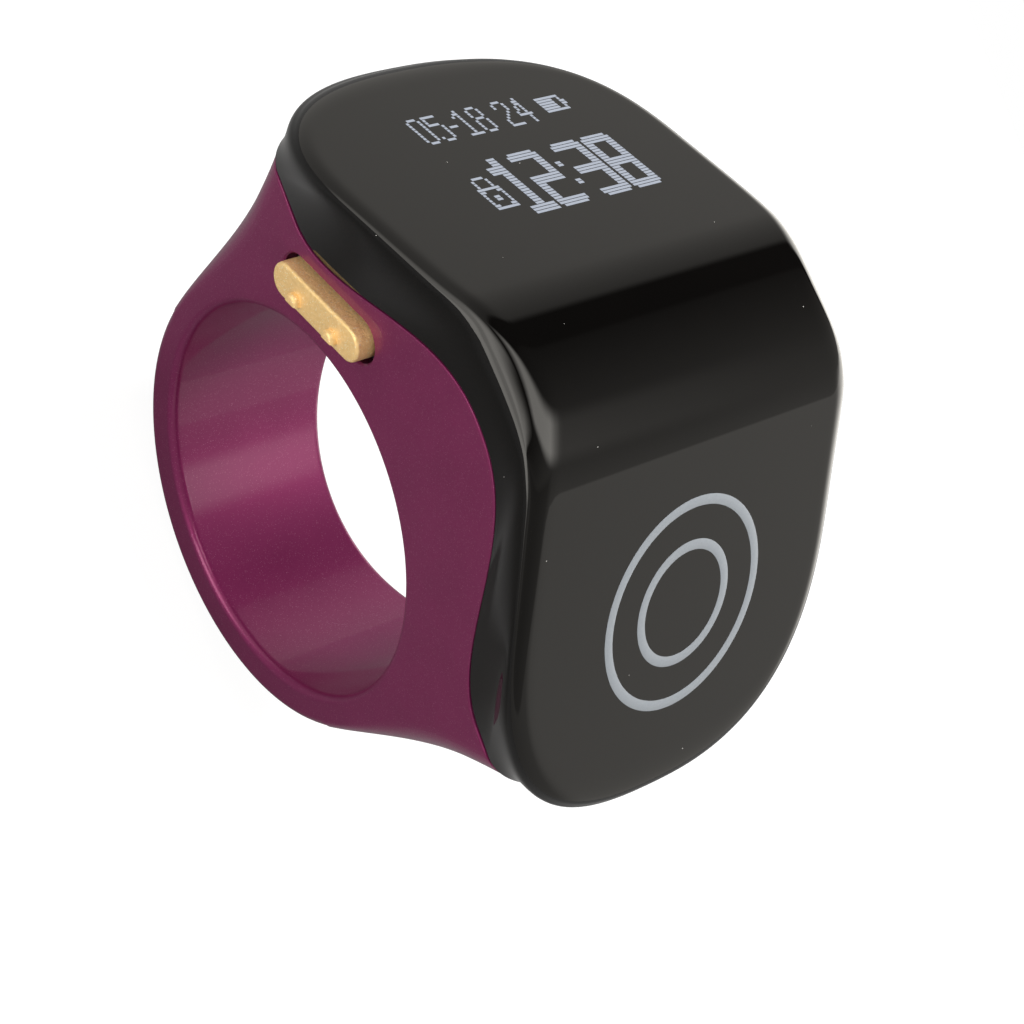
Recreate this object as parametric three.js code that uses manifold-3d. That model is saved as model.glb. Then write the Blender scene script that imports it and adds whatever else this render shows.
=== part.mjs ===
import * as THREE from "three";
import { mergeVertices } from "three/addons/utils/BufferGeometryUtils.js";
import Module from "manifold-3d";

const wasm = await Module();
wasm.setup();

// Driving dimensions in millimetres.
// X runs along the finger, +Y points to the display end, +Z goes up through the ridge of the head.

// Finger bore, band and the flat side faces, which lean outward as they rise
const BORE_RADIUS = 10.0;
const BAND_WALL = 2.3;
const BAND_DROP = 0.5;
const BAND_HALF_WIDTH = 6.92;
const SIDE_SLOPE = 0.19;
const BAND_ROUND = 1.1;
const FLARE_SLOPE = 0.285;
const FLARE_CURVE_BACK = 0.0005;
const FLARE_CURVE_FRONT = 0.0062;
const FLARE_TURN_BACK = 1.7e-5;
const FLARE_TURN_FRONT = 1.1e-5;
const HEAD_ROUND = 2.8;
const HEAD_ROUND_HEIGHT = 7.0;
const ROUND_POWER = 2.4;

// Head: two flat faces that meet in a round ridge
const FACE_TILT = THREE.MathUtils.degToRad(36.26);
const RIDGE_RADIUS = 8.5;
const HEAD_HALF_WIDTH = { back: 10.95, front: 11.05 };
const WAIST = { depth: 0.95, place: 0.7, reach: 3.6 };
const BACK_END = 7.4;
const FRONT_END = 9.15;
const BACK_ROUND = 8.75;
const FRONT_ROUND = 11.5;
const END_POWER = 2.53;
const WALL_BULGE = { side: 0.42, tip: 0.8 };
const BULGE_POWER = { side: 0.5, tip: 0.9 };
const EDGE_BREAK = 0.5;
const COVER_WALL = 1.5;

// Joint between cover and body: a bell-shaped line seen from the side
const JOINT_DROP = { ridge: 3.65, back: 12.15, front: 12.55 };
const BELL_REACH = 12.4;
const BELL_POWER = 1.15;
const BELL_CENTRE = -0.8;
const JOINT_GAP = 0.3;
const COVER_STEP = 0.7;
const SEAL_INSET = 0.7;
const SEAL_WIDTH = 0.55;
const SEAL_HEIGHT = 0.4;

// Body walls round the electronics
const BODY_WALL = 1.5;
const BORE_WALL = 1.4;
const CAVITY_DROP = 4.8;

// Clearances
const SEAT_GAP = 0.3;
const FINE_GAP = 0.1;

// Display and touch pieces: place across (x), along the face and through it
const DISPLAY_CENTRE = { x: 0.9, along: -1.7 };
const PANEL = { width: 13.6, length: 10.8, thickness: 1.3 };
const ADHESIVE = { thickness: 0.3, border: 1.2 };
const TOUCH_CENTRE = { x: 0.23, along: -0.58 };
const TOUCH_BOARD = { x: 0.3, along: -1.2, width: 12.6, length: 11.0, thickness: 0.7 };
const TOUCH_FOAM = { radius: 5.2, thickness: 0.8 };
const MARK_OUTER_RADIUS = 5.45;
const MARK_INNER_RADIUS = 3.22;
const MARK_WIDTH = 0.6;
const MARK_DEPTH = 0.4;
const MARK_GAP = 0.12;

// Inner frame and main board
const FRAME = { low: -4.6, high: 5.4, thickness: 0.8, ridge: 0.7, foot: 0.7, footPlace: 10.5 };
const BOARD = { width: 15.0, length: 7.0, thickness: 0.7, lift: 0.4 };
const RADIO = { x: -0.8, y: 0, width: 3.2, length: 3.2, height: 0.6 };
const POWER = { x: -4.6, y: 0.9, width: 2.0, length: 2.0, height: 0.5 };
const CRYSTAL = { x: 2.9, y: -1.2, width: 1.6, length: 1.2, height: 0.45 };
const ANTENNA = { x: 3.6, y: 1.3, width: 3.0, length: 1.2, height: 0.5 };
const CHIP_GAP = 0.25;
const FLEX_THICKNESS = 0.25;
const FLEX_WIDTH = 1.1;
const DISPLAY_FLEX = { start: 3.2, bend: 5.6, end: 6.6, dip: 0.9, landing: 0.4, run: 1.8 };
const TOUCH_FLEX = { start: 2.6, bend: 5.2, end: 6.4, dip: 1.2, landing: 0.6, run: 1.6 };

// Battery cell bent round the finger
const CELL = { thickness: 2.3, low: -4.0, high: 5.4 };
const CELL_HALF_ANGLE = THREE.MathUtils.degToRad(38);
const TAPE_THICKNESS = 0.3;
const TAPE_GAP = 0.15;
const LEAD_DIAMETER = 0.5;
const LEAD_SPACING = 1.6;
const LEAD_REACH = 1.2;

// Vibration motor across the ridge
const MOTOR = { radius: 1.6, low: -3.8, length: 6.6, headroom: 0.29 };
const MOTOR_SHAFT_RADIUS = 0.4;
const SHAFT = { inside: 1.2, clear: 0.3, proud: 0.3 };
const ROTOR = { radius: 1.5, length: 2.2, bore: 0.5, gap: 0.5, flat: 0.55 };
const CRADLE = { width: 4.6, length: 4.0, rise: 1.3, web: 0.25 };

// Side button and charging contacts, both placed from the bore centre on a side face
const BUTTON_OFFSET = 2.57;
const BUTTON_BEARING = THREE.MathUtils.degToRad(54.65);
const BUTTON_ANGLE = THREE.MathUtils.degToRad(140.1);
const BUTTON = { length: 7.0, width: 1.8, proud: 0.75, depth: 1.3 };
const BUTTON_GAP = 0.25;
const FLANGE = { length: 8.8, width: 1.4, thickness: 0.4, shift: 0.15 };
const NUB = { radius: 0.5, height: 0.22, spacing: 3.0, shift: 0.35 };
const SWITCH = { length: 3.2, width: 1.5, thickness: 1.1, plunger: 0.6, gap: 0.15, rise: 0.4 };
const SWITCH_BOARD = { length: 6.0, width: 1.5, thickness: 0.3 };
const CARRIER = { length: 7.6, width: 1.9, depth: 2.0 };
const CONTACT = { radius: 0.65, spacing: 4.2, depth: 2.5 };

// Colours and finishes
const PURPLE = { color: 0x78405c, roughness: 0.35, metalness: 0.5 };
const BLACK_GLOSS = { color: 0x0c0c0d, roughness: 0.08, metalness: 0 };
const BLACK_RUBBER = { color: 0x161616, roughness: 0.8, metalness: 0 };
const GOLD_PAINT = { color: 0xd7b478, roughness: 0.35, metalness: 0.7 };
const GREY_PRINT = { color: 0xa5acb9, roughness: 0.5, metalness: 0 };
const GLASS_DARK = { color: 0x101418, roughness: 0.1, metalness: 0 };
const BOARD_GREEN = { color: 0x1f5a3a, roughness: 0.5, metalness: 0 };
const CHIP_BLACK = { color: 0x1b1b1d, roughness: 0.6, metalness: 0 };
const FLEX_AMBER = { color: 0xb9772c, roughness: 0.4, metalness: 0 };
const FRAME_BLACK = { color: 0x2a2a2c, roughness: 0.6, metalness: 0 };
const STEEL = { color: 0xb8babd, roughness: 0.3, metalness: 1 };
const FOIL = { color: 0xa9acb0, roughness: 0.35, metalness: 0.8 };
const FOAM_GREY = { color: 0x55585c, roughness: 0.9, metalness: 0 };
const CONTACT_GOLD = { color: 0xe0b45a, roughness: 0.2, metalness: 1 };
const LEAD_RED = { color: 0xa8221c, roughness: 0.5, metalness: 0 };
const LEAD_BLACK = { color: 0x161616, roughness: 0.5, metalness: 0 };

// Mesh resolution
const END_STEPS = 9;
const FLAT_STEPS = 3;
const RIDGE_STEPS = 8;
const WALL_STEPS = 5;
const ROUND_SEGMENTS = 48;
const FAR = 40;

// Heights of the stack over the finger, each piece seated on the one below it
const BAND_RADIUS = BORE_RADIUS + BAND_WALL;
const CELL_INNER = BORE_RADIUS + BORE_WALL + TAPE_THICKNESS + 2 * TAPE_GAP;
const CELL_OUTER = CELL_INNER + CELL.thickness;
const BOARD_BOTTOM = CELL_OUTER + BOARD.lift;
const BOARD_TOP = BOARD_BOTTOM + BOARD.thickness;
const FRAME_CEILING = BOARD_TOP + RADIO.height + CHIP_GAP;
const FRAME_TOP = FRAME_CEILING + FRAME.ridge;
const MOTOR_HEIGHT = FRAME_TOP + CRADLE.web + 2 * FINE_GAP + MOTOR.radius;
const RIDGE_TOP = MOTOR_HEIGHT + MOTOR.radius + MOTOR.headroom + COVER_WALL;
const FACE_DISTANCE = (RIDGE_TOP - RIDGE_RADIUS) * Math.cos(FACE_TILT) + RIDGE_RADIUS;
const CAVITY_FLOOR = BORE_RADIUS - CAVITY_DROP;
const BUTTON_RADIUS = BORE_RADIUS + BUTTON_OFFSET;
const BUTTON_PLACE = {
  y: BUTTON_RADIUS * Math.cos(BUTTON_BEARING),
  z: BUTTON_RADIUS * Math.sin(BUTTON_BEARING),
};

const part = new THREE.Group();

// Solids

function clean(geometry) {
  const bare = geometry.clone();
  bare.deleteAttribute("normal");
  bare.deleteAttribute("uv");
  const merged = mergeVertices(bare, 1e-5);
  const index = merged.index.array;
  const kept = [];
  for (let i = 0; i < index.length; i += 3) {
    const [a, b, c] = [index[i], index[i + 1], index[i + 2]];
    if (a !== b && b !== c && c !== a) kept.push(a, b, c);
  }
  merged.setIndex(kept);
  return merged;
}

function toSolid(geometry) {
  const merged = clean(geometry);
  return new wasm.Manifold(new wasm.Mesh({
    numProp: 3,
    vertProperties: new Float32Array(merged.attributes.position.array),
    triVerts: new Uint32Array(merged.index.array),
  }));
}

function toGeometry(solid) {
  const mesh = solid.getMesh();
  const geometry = new THREE.BufferGeometry();
  geometry.setAttribute("position", new THREE.BufferAttribute(mesh.vertProperties, 3));
  geometry.setIndex(new THREE.BufferAttribute(mesh.triVerts, 1));
  return geometry;
}

function cut(geometry, ...tools) {
  let solid = toSolid(geometry);
  for (const tool of tools) solid = solid.subtract(toSolid(tool));
  return toGeometry(solid);
}

function join(geometry, ...others) {
  let solid = toSolid(geometry);
  for (const other of others) solid = solid.add(toSolid(other));
  return toGeometry(solid);
}

function overlap(geometry, ...others) {
  let solid = toSolid(geometry);
  for (const other of others) solid = solid.intersect(toSolid(other));
  return toGeometry(solid);
}

function extrudeAlongX(points, low, high) {
  const shape = new THREE.Shape(points.map(([y, z]) => new THREE.Vector2(y, z)));
  const geometry = new THREE.ExtrudeGeometry(shape, { depth: high - low, bevelEnabled: false });
  const turn = new THREE.Matrix4().set(0, 0, 1, low, 1, 0, 0, 0, 0, 1, 0, 0, 0, 0, 0, 1);
  return geometry.applyMatrix4(turn);
}

function box(low, high) {
  const size = high.map((value, i) => value - low[i]);
  const middle = high.map((value, i) => (value + low[i]) / 2);
  return new THREE.BoxGeometry(...size).translate(...middle);
}

function cylinderAlongX(radius, low, high, segments = ROUND_SEGMENTS) {
  const geometry = new THREE.CylinderGeometry(radius, radius, high - low, segments);
  return geometry.rotateZ(Math.PI / 2).translate((high + low) / 2, 0, 0);
}

function disc(radius, low, high, segments = ROUND_SEGMENTS) {
  const geometry = new THREE.CylinderGeometry(radius, radius, high - low, segments);
  return geometry.rotateX(Math.PI / 2).translate(0, 0, (high + low) / 2);
}

function stadium(length, width, low, high) {
  const run = (length - width) / 2;
  const shape = new THREE.Shape();
  shape.absarc(run, 0, width / 2, -Math.PI / 2, Math.PI / 2, false);
  shape.absarc(-run, 0, width / 2, Math.PI / 2, Math.PI * 1.5, false);
  const options = { depth: high - low, bevelEnabled: false, curveSegments: 10 };
  const geometry = new THREE.ExtrudeGeometry(shape, options);
  return geometry.translate(0, 0, low);
}

// Closed surface through rings with the same number of points, with a flat fan on each end ring
function loft(rings) {
  const count = rings[0].length;
  const positions = rings.flat(2);
  const index = [];
  for (let r = 0; r + 1 < rings.length; r += 1) {
    for (let i = 0; i < count; i += 1) {
      const next = (i + 1) % count;
      const [a, b] = [r * count + i, r * count + next];
      index.push(a, b, a + count, b, b + count, a + count);
    }
  }
  const last = (rings.length - 1) * count;
  for (let i = 1; i + 1 < count; i += 1) {
    index.push(0, i + 1, i, last, last + i, last + i + 1);
  }
  const geometry = new THREE.BufferGeometry();
  geometry.setAttribute("position", new THREE.Float32BufferAttribute(positions, 3));
  geometry.setIndex(index);
  return geometry;
}

function add(name, geometry, finish, parent = part) {
  const faceted = geometry.index ? geometry.toNonIndexed() : geometry;
  faceted.computeVertexNormals();
  const mesh = new THREE.Mesh(faceted, new THREE.MeshStandardMaterial(finish));
  mesh.name = name;
  parent.add(mesh);
  return mesh;
}

// Shape of the head

const RIDGE_CENTRE = (FACE_DISTANCE - RIDGE_RADIUS) / Math.cos(FACE_TILT);
const RIDGE_HALF_ARC = RIDGE_RADIUS * FACE_TILT;
const FACE_START = -RIDGE_CENTRE * Math.sin(FACE_TILT);

// Point under the head's surface: along is the arc length from the ridge, positive to the display end
function headPoint(along, depth) {
  const side = Math.sign(along) || 1;
  const flat = Math.max(Math.abs(along) - RIDGE_HALF_ARC, 0);
  const turn = side * Math.min(Math.abs(along) / RIDGE_RADIUS, FACE_TILT);
  const [ny, nz] = [Math.sin(turn), Math.cos(turn)];
  const reach = RIDGE_RADIUS - depth;
  return [ny * reach + side * nz * flat, RIDGE_CENTRE + nz * reach - Math.abs(ny) * flat];
}

function endAlong(side) {
  return RIDGE_HALF_ARC + (side > 0 ? BACK_END : FRONT_END) - FACE_START;
}

function endRound(side) {
  return side > 0 ? BACK_ROUND : FRONT_ROUND;
}

// Half width of the head's top edge, a little narrower over the ridge
function edgeHalfWidth(along) {
  const share = smooth((along + RIDGE_HALF_ARC) / (2 * RIDGE_HALF_ARC));
  const width = THREE.MathUtils.lerp(HEAD_HALF_WIDTH.front, HEAD_HALF_WIDTH.back, share);
  return width - WAIST.depth * Math.exp(-(((along - WAIST.place) / WAIST.reach) ** 2));
}

function smooth(t) {
  const s = THREE.MathUtils.clamp(t, 0, 1);
  return s * s * (3 - 2 * s);
}

// Height of the joint at a place along the body
function bell(y) {
  const base = RIDGE_TOP - (y > BELL_CENTRE ? JOINT_DROP.back : JOINT_DROP.front);
  const peak = RIDGE_TOP - JOINT_DROP.ridge;
  const share = Math.min(Math.abs(y - BELL_CENTRE) / BELL_REACH, 1) ** BELL_POWER;
  return base + ((peak - base) / 2) * (1 + Math.cos(Math.PI * share));
}

// Place along the head's surface and depth under it, the inverse of headPoint
function locate(y, z) {
  const side = Math.sign(y) || 1;
  const run = Math.abs(y) * Math.cos(FACE_TILT) - z * Math.sin(FACE_TILT);
  if (run > FACE_START) {
    const distance = Math.abs(y) * Math.sin(FACE_TILT) + z * Math.cos(FACE_TILT);
    return { along: side * (RIDGE_HALF_ARC + run - FACE_START), depth: FACE_DISTANCE - distance };
  }
  const turn = Math.atan2(y, z - RIDGE_CENTRE);
  return { along: turn * RIDGE_RADIUS, depth: RIDGE_RADIUS - Math.hypot(y, z - RIDGE_CENTRE) };
}

// Shape of the body

const FLARE_ANGLE = Math.atan(FLARE_SLOPE);
const FLARE_BASE_Y = BAND_RADIUS * Math.cos(FLARE_ANGLE);
const FLARE_BASE_Z = -BAND_DROP - BAND_RADIUS * Math.sin(FLARE_ANGLE);

function sideWidth(z) {
  return BAND_HALF_WIDTH + SIDE_SLOPE * z;
}

// How far the body reaches along Y at a height, on the display side or the front side
function flareEnd(z, side) {
  const rise = z - FLARE_BASE_Z;
  const curve = side > 0 ? FLARE_CURVE_BACK : FLARE_CURVE_FRONT;
  const turn = side > 0 ? FLARE_TURN_BACK : FLARE_TURN_FRONT;
  const above = Math.max(rise, 0);
  return FLARE_BASE_Y + FLARE_SLOPE * rise + curve * above ** 2 + turn * above ** 4;
}

function roundAt(z) {
  const share = (z - FLARE_BASE_Z) / (HEAD_ROUND_HEIGHT - FLARE_BASE_Z);
  return THREE.MathUtils.lerp(BAND_ROUND, HEAD_ROUND, smooth(share));
}

// Share of the end rounding that lies behind a point on the joint, 0 where the side is straight, 1 at the tip
function roundShare(y) {
  const z = bell(y);
  return (Math.abs(y) - flareEnd(z, Math.sign(y)) + roundAt(z)) / roundAt(z);
}

function placeForShare(share, side) {
  let [low, high] = [4, 24];
  for (let i = 0; i < 40; i += 1) {
    const middle = (low + high) / 2;
    if (roundShare(side * middle) < share) low = middle;
    else high = middle;
  }
  return (side * (low + high)) / 2;
}

// One point of the joint: place along the head, depth under its surface and half width
function jointPoint(y, widthShare) {
  const z = bell(y);
  const { along, depth } = locate(y, z);
  return { joint: along, jointDepth: depth, jointWidth: sideWidth(z) * widthShare };
}

// Stations from the display end over the ridge to the front end.
// Each has a place along the cover's edge and along the joint, and the half widths there.
function stations() {
  const list = [];
  for (const side of [1, -1]) {
    const edgeStraight = endAlong(side) - endRound(side);
    const jointStraight = Math.abs(placeForShare(0, side));
    const half = [];
    for (let i = 0; i < END_STEPS; i += 1) {
      const angle = (Math.PI / 2) * (i / END_STEPS);
      const share = Math.cos(angle) ** (2 / END_POWER);
      const y = placeForShare(Math.cos(angle) ** (2 / ROUND_POWER), side);
      const edge = side * (edgeStraight + endRound(side) * share);
      half.push({
        edge,
        edgeWidth: edgeHalfWidth(edge) * Math.sin(angle) ** (2 / END_POWER),
        ...jointPoint(y, Math.sin(angle) ** (2 / ROUND_POWER)),
      });
    }
    const straightSteps = FLAT_STEPS + RIDGE_STEPS / 2;
    for (let i = 0; i < straightSteps; i += 1) {
      const onRidge = i >= FLAT_STEPS;
      const share = onRidge ? 1 - (i - FLAT_STEPS) / (RIDGE_STEPS / 2) : 1 - i / FLAT_STEPS;
      const [from, to] = onRidge ? [0, RIDGE_HALF_ARC] : [RIDGE_HALF_ARC, edgeStraight];
      const edge = side * THREE.MathUtils.lerp(from, to, share);
      const y = side * jointStraight * (1 - i / straightSteps);
      half.push({ edge, edgeWidth: edgeHalfWidth(edge), ...jointPoint(y, 1) });
    }
    if (side > 0) list.push(...half, { edge: 0, edgeWidth: edgeHalfWidth(0), ...jointPoint(0, 1) });
    else list.push(...half.reverse());
  }
  return list;
}

// Direction square to an outline at a station, across (x) and along
function outward(list, i, place, width) {
  const before = list[Math.max(i - 1, 0)];
  const after = list[Math.min(i + 1, list.length - 1)];
  const alongStep = after[place] - before[place];
  const widthStep = after[width] - before[width];
  if (i === 0) return [0, 1];
  if (i === list.length - 1) return [0, -1];
  const length = Math.hypot(alongStep, widthStep);
  return [-alongStep / length, widthStep / length];
}

// Solid head to below the joint; inset shrinks it to the cover's inner space
function headSolid(inset, topDepth) {
  const list = stations();
  const bottomExtra = 1.0;
  const rings = list.map((station, i) => {
    const [edgeAcross, edgeAlong] = outward(list, i, "edge", "edgeWidth");
    const [jointAcross, jointAlong] = outward(list, i, "joint", "jointWidth");
    const depthEnd = station.jointDepth;
    const jointOut = JOINT_GAP - inset;
    const half = [];
    const tip = i === 0 || i === list.length - 1;
    const shoulder = inset + EDGE_BREAK;
    const tipShare = smooth((1 - station.edgeWidth / edgeHalfWidth(station.edge)) / 0.8);
    const bulge = THREE.MathUtils.lerp(WALL_BULGE.side, WALL_BULGE.tip, tipShare);
    const power = THREE.MathUtils.lerp(BULGE_POWER.side, BULGE_POWER.tip, tipShare);
    const place = (along, across, depth) => {
      const [y, z] = headPoint(along, depth);
      half.push([tip ? 0 : Math.max(across, 0), y, z]);
    };
    place(station.edge - edgeAlong * shoulder, station.edgeWidth - edgeAcross * shoulder, topDepth);
    for (let s = 0; s <= WALL_STEPS; s += 1) {
      const share = s / WALL_STEPS;
      const out = bulge * Math.sin(Math.PI * share ** power) + THREE.MathUtils.lerp(-inset, jointOut, share);
      const along = THREE.MathUtils.lerp(station.edge, station.joint, share);
      const across = THREE.MathUtils.lerp(station.edgeWidth, station.jointWidth, share);
      const outAlong = THREE.MathUtils.lerp(edgeAlong, jointAlong, share) * out;
      const outAcross = THREE.MathUtils.lerp(edgeAcross, jointAcross, share) * out;
      const depth = THREE.MathUtils.lerp(topDepth + EDGE_BREAK * 0.7, depthEnd, share);
      place(along + outAlong, across + outAcross, depth);
    }
    const bottomAlong = station.joint + jointAlong * jointOut;
    const bottomAcross = station.jointWidth + jointAcross * jointOut;
    place(bottomAlong, bottomAcross, depthEnd + bottomExtra);
    const mirrored = half.map(([x, y, z]) => [-x, y, z]).reverse();
    return [...half, ...mirrored];
  });
  return loft(rings.reverse());
}

// Space above or below the joint, shifted up from it
function jointSide(above, shift) {
  const points = [];
  const steps = 40;
  for (let i = 0; i <= steps; i += 1) {
    const y = BELL_CENTRE + BELL_REACH * (1 - (2 * i) / steps);
    points.push([y, bell(y) + shift]);
  }
  const far = above ? FAR : -FAR;
  points.push([-FAR, bell(-FAR) + shift], [-FAR, far], [FAR, far], [FAR, bell(FAR) + shift]);
  return extrudeAlongX(above ? points : points.reverse(), -FAR, FAR);
}

// Upper body as level sections, from the flare's foot to above the joint
function upperBody(inset, bottom) {
  const levels = [bottom];
  for (let z = Math.ceil(bottom) + 1; z <= 22; z += 2) levels.push(z);
  return loft(levels.map((z) => {
    const [width, round] = [sideWidth(z) - inset, roundAt(z)];
    const [back, front] = [1, -1].map((side) => Array.from({ length: END_STEPS + 1 }, (unused, i) => {
      const angle = (Math.PI / 2) * (i / END_STEPS);
      const y = flareEnd(z, side) - inset - round + round * Math.cos(angle) ** (2 / ROUND_POWER);
      return [width * Math.sin(angle) ** (2 / ROUND_POWER), side * y, z];
    }));
    const right = [...back, ...front.reverse()];
    const left = right.slice(1, -1).map(([x, y]) => [-x, y, z]).reverse();
    return [...right, ...left].reverse();
  }));
}

// Lower band as sections that turn round the finger
function lowerBand() {
  const rings = [];
  const steps = 22;
  for (let s = 0; s <= steps; s += 1) {
    const angle = THREE.MathUtils.lerp(-FLARE_ANGLE, -Math.PI + FLARE_ANGLE, s / steps);
    const [cosine, sine] = [Math.cos(angle), Math.sin(angle)];
    const at = (radius, share) => {
      const z = -BAND_DROP + radius * sine;
      return [share * sideWidth(z), radius * cosine, z];
    };
    const ring = [at(0.5, -1)];
    for (let i = 0; i <= 2 * END_STEPS; i += 1) {
      const turn = Math.PI * (i / (2 * END_STEPS)) - Math.PI / 2;
      const share = Math.sign(turn) * Math.abs(Math.sin(turn)) ** (2 / ROUND_POWER);
      const radius = BAND_RADIUS - BAND_ROUND + BAND_ROUND * Math.abs(Math.cos(turn)) ** (2 / ROUND_POWER);
      ring.push(at(radius, share));
    }
    ring.push(at(0.5, 1));
    rings.push(ring);
  }
  return loft(rings);
}

// Frames for the turned pieces

function faceGroup(side) {
  const group = new THREE.Group();
  group.rotation.x = -side * FACE_TILT;
  part.add(group);
  return group;
}

// Local X runs along the slot, local Z points out of the side face
function sideMatrix(side) {
  const across = new THREE.Vector3(side, 0, -SIDE_SLOPE).normalize();
  const slot = new THREE.Vector3(0, Math.cos(BUTTON_ANGLE), Math.sin(BUTTON_ANGLE));
  const run = slot.clone().addScaledVector(across, -slot.dot(across)).normalize();
  const rise = new THREE.Vector3().crossVectors(across, run);
  const matrix = new THREE.Matrix4().makeBasis(run, rise, across);
  return matrix.setPosition(side * sideWidth(BUTTON_PLACE.z), BUTTON_PLACE.y, BUTTON_PLACE.z);
}

function sideGroup(side) {
  const group = new THREE.Group();
  group.applyMatrix4(sideMatrix(side));
  part.add(group);
  return group;
}

// Pieces

function ringBody() {
  const outer = join(upperBody(0, FLARE_BASE_Z), lowerBand());
  const cavity = cut(upperBody(BODY_WALL, CAVITY_FLOOR), cylinderAlongX(BORE_RADIUS + BORE_WALL, -FAR, FAR));
  const bore = cylinderAlongX(BORE_RADIUS, -FAR, FAR, 2 * ROUND_SEGMENTS);
  const slotEnd = 2 * BODY_WALL;
  const slot = stadium(BUTTON.length + 2 * BUTTON_GAP, BUTTON.width + 2 * BUTTON_GAP, -slotEnd, slotEnd);
  const slotLength = CARRIER.length + 2 * BUTTON_GAP;
  const carrierSlot = stadium(slotLength, CARRIER.width + 2 * BUTTON_GAP, -slotEnd, slotEnd);
  const shaped = cut(outer, jointSide(true, -JOINT_GAP / 2), cavity, bore,
    slot.applyMatrix4(sideMatrix(-1)), carrierSlot.applyMatrix4(sideMatrix(1)));
  add("ring_body", shaped, PURPLE);
}

function headCover() {
  const core = upperBody(SEAL_INSET - SEAT_GAP, CAVITY_FLOOR);
  const step = overlap(core, jointSide(false, SEAT_GAP / 2 + COVER_STEP));
  const hollow = headSolid(COVER_WALL, COVER_WALL);
  const shell = cut(headSolid(0, 0), hollow, jointSide(false, JOINT_GAP / 2), step);
  const grooves = [MARK_OUTER_RADIUS, MARK_INNER_RADIUS].map((radius) => markRing(radius, MARK_GAP)
    .translate(TOUCH_CENTRE.x, -TOUCH_CENTRE.along, 0).rotateX(FACE_TILT));
  add("head_cover", cut(shell, ...grooves), BLACK_GLOSS);
}

function coverSeal() {
  const loop = cut(upperBody(SEAL_INSET, CAVITY_FLOOR), upperBody(SEAL_INSET + SEAL_WIDTH, CAVITY_FLOOR - 1));
  const low = JOINT_GAP / 2;
  add("cover_seal", cut(loop, jointSide(false, low), jointSide(true, low + SEAL_HEIGHT)), BLACK_RUBBER);
}

function markRing(radius, gap) {
  const top = FACE_DISTANCE;
  const bottom = top - MARK_DEPTH - gap;
  const over = gap > 0 ? 1 : 0;
  return cut(disc(radius + gap, bottom, top + over), disc(radius - MARK_WIDTH - gap, bottom - 1, top + 2));
}

function touchMarks(group) {
  const marks = { key_mark_outer: MARK_OUTER_RADIUS, key_mark_inner: MARK_INNER_RADIUS };
  for (const [name, radius] of Object.entries(marks)) {
    const mesh = add(name, markRing(radius, 0), GREY_PRINT, group);
    mesh.position.set(TOUCH_CENTRE.x, -TOUCH_CENTRE.along, 0);
  }
}

function plate(size, centre, top, side) {
  const [x, y] = [centre.x, side * centre.along];
  const [w, l] = [size.width / 2, size.length / 2];
  return box([x - w, y - l, top - size.thickness], [x + w, y + l, top]);
}

function displayStack(group) {
  const adhesiveTop = FACE_DISTANCE - COVER_WALL - SEAT_GAP;
  const panelTop = adhesiveTop - ADHESIVE.thickness - SEAT_GAP;
  const sheet = plate({ ...PANEL, thickness: ADHESIVE.thickness }, DISPLAY_CENTRE, adhesiveTop, 1);
  const border = 2 * ADHESIVE.border;
  const window = plate(
    { width: PANEL.width - border, length: PANEL.length - border, thickness: 1 },
    DISPLAY_CENTRE, adhesiveTop + 0.3, 1);
  add("display_adhesive", cut(sheet, window), FOAM_GREY, group);
  add("oled_panel", plate(PANEL, DISPLAY_CENTRE, panelTop, 1), GLASS_DARK, group);
  return panelTop - PANEL.thickness;
}

function touchStack(group) {
  const boardTop = FACE_DISTANCE - COVER_WALL - SEAT_GAP;
  const foamTop = boardTop - TOUCH_BOARD.thickness - SEAT_GAP;
  add("touch_board", plate(TOUCH_BOARD, TOUCH_BOARD, boardTop, -1), BOARD_GREEN, group);
  const foam = disc(TOUCH_FOAM.radius, foamTop - TOUCH_FOAM.thickness, foamTop, 24);
  const mesh = add("touch_foam", foam, FOAM_GREY, group);
  mesh.position.set(TOUCH_CENTRE.x, -TOUCH_CENTRE.along, 0);
  return boardTop - TOUCH_BOARD.thickness;
}

// Level height of a face's inner plane at a place across it
function planeHeight(distance, y) {
  return (distance - Math.sin(FACE_TILT) * Math.abs(y)) / Math.cos(FACE_TILT);
}

function planeReach(distance, z) {
  return (distance - Math.cos(FACE_TILT) * z) / Math.sin(FACE_TILT);
}

function innerFrame(under) {
  const top = under - SEAT_GAP;
  const bottom = top - FRAME.thickness;
  const [near, far] = [FRAME.footPlace, FRAME.footPlace + FRAME.foot];
  const floor = CAVITY_FLOOR + SEAT_GAP;
  const half = [
    [near, floor], [far, floor], [far, planeHeight(top, far)], [planeReach(top, FRAME_TOP), FRAME_TOP],
  ];
  const inside = [[near, planeHeight(bottom, near)], [planeReach(bottom, FRAME_CEILING), FRAME_CEILING]];
  const mirror = ([y, z]) => [-y, z];
  const outline = [
    ...half, ...half.map(mirror).reverse(),
    ...inside.map(mirror), ...[...inside].reverse(),
  ];
  add("inner_frame", extrudeAlongX(outline, FRAME.low, FRAME.high), FRAME_BLACK);
}

function mainBoard() {
  const [w, l] = [BOARD.width / 2, BOARD.length / 2];
  add("main_board", box([-w, -l, BOARD_BOTTOM], [w, l, BOARD_TOP]), BOARD_GREEN);
  const chips = {
    radio_chip: [RADIO, CHIP_BLACK], power_chip: [POWER, CHIP_BLACK],
    crystal: [CRYSTAL, STEEL], chip_antenna: [ANTENNA, GREY_PRINT],
  };
  for (const [name, [{ x, y, width, length, height }, finish]] of Object.entries(chips)) {
    const low = [x - width / 2, y - length / 2, BOARD_TOP];
    const high = [x + width / 2, y + length / 2, BOARD_TOP + height];
    add(name, box(low, high), finish);
  }
}

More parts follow.
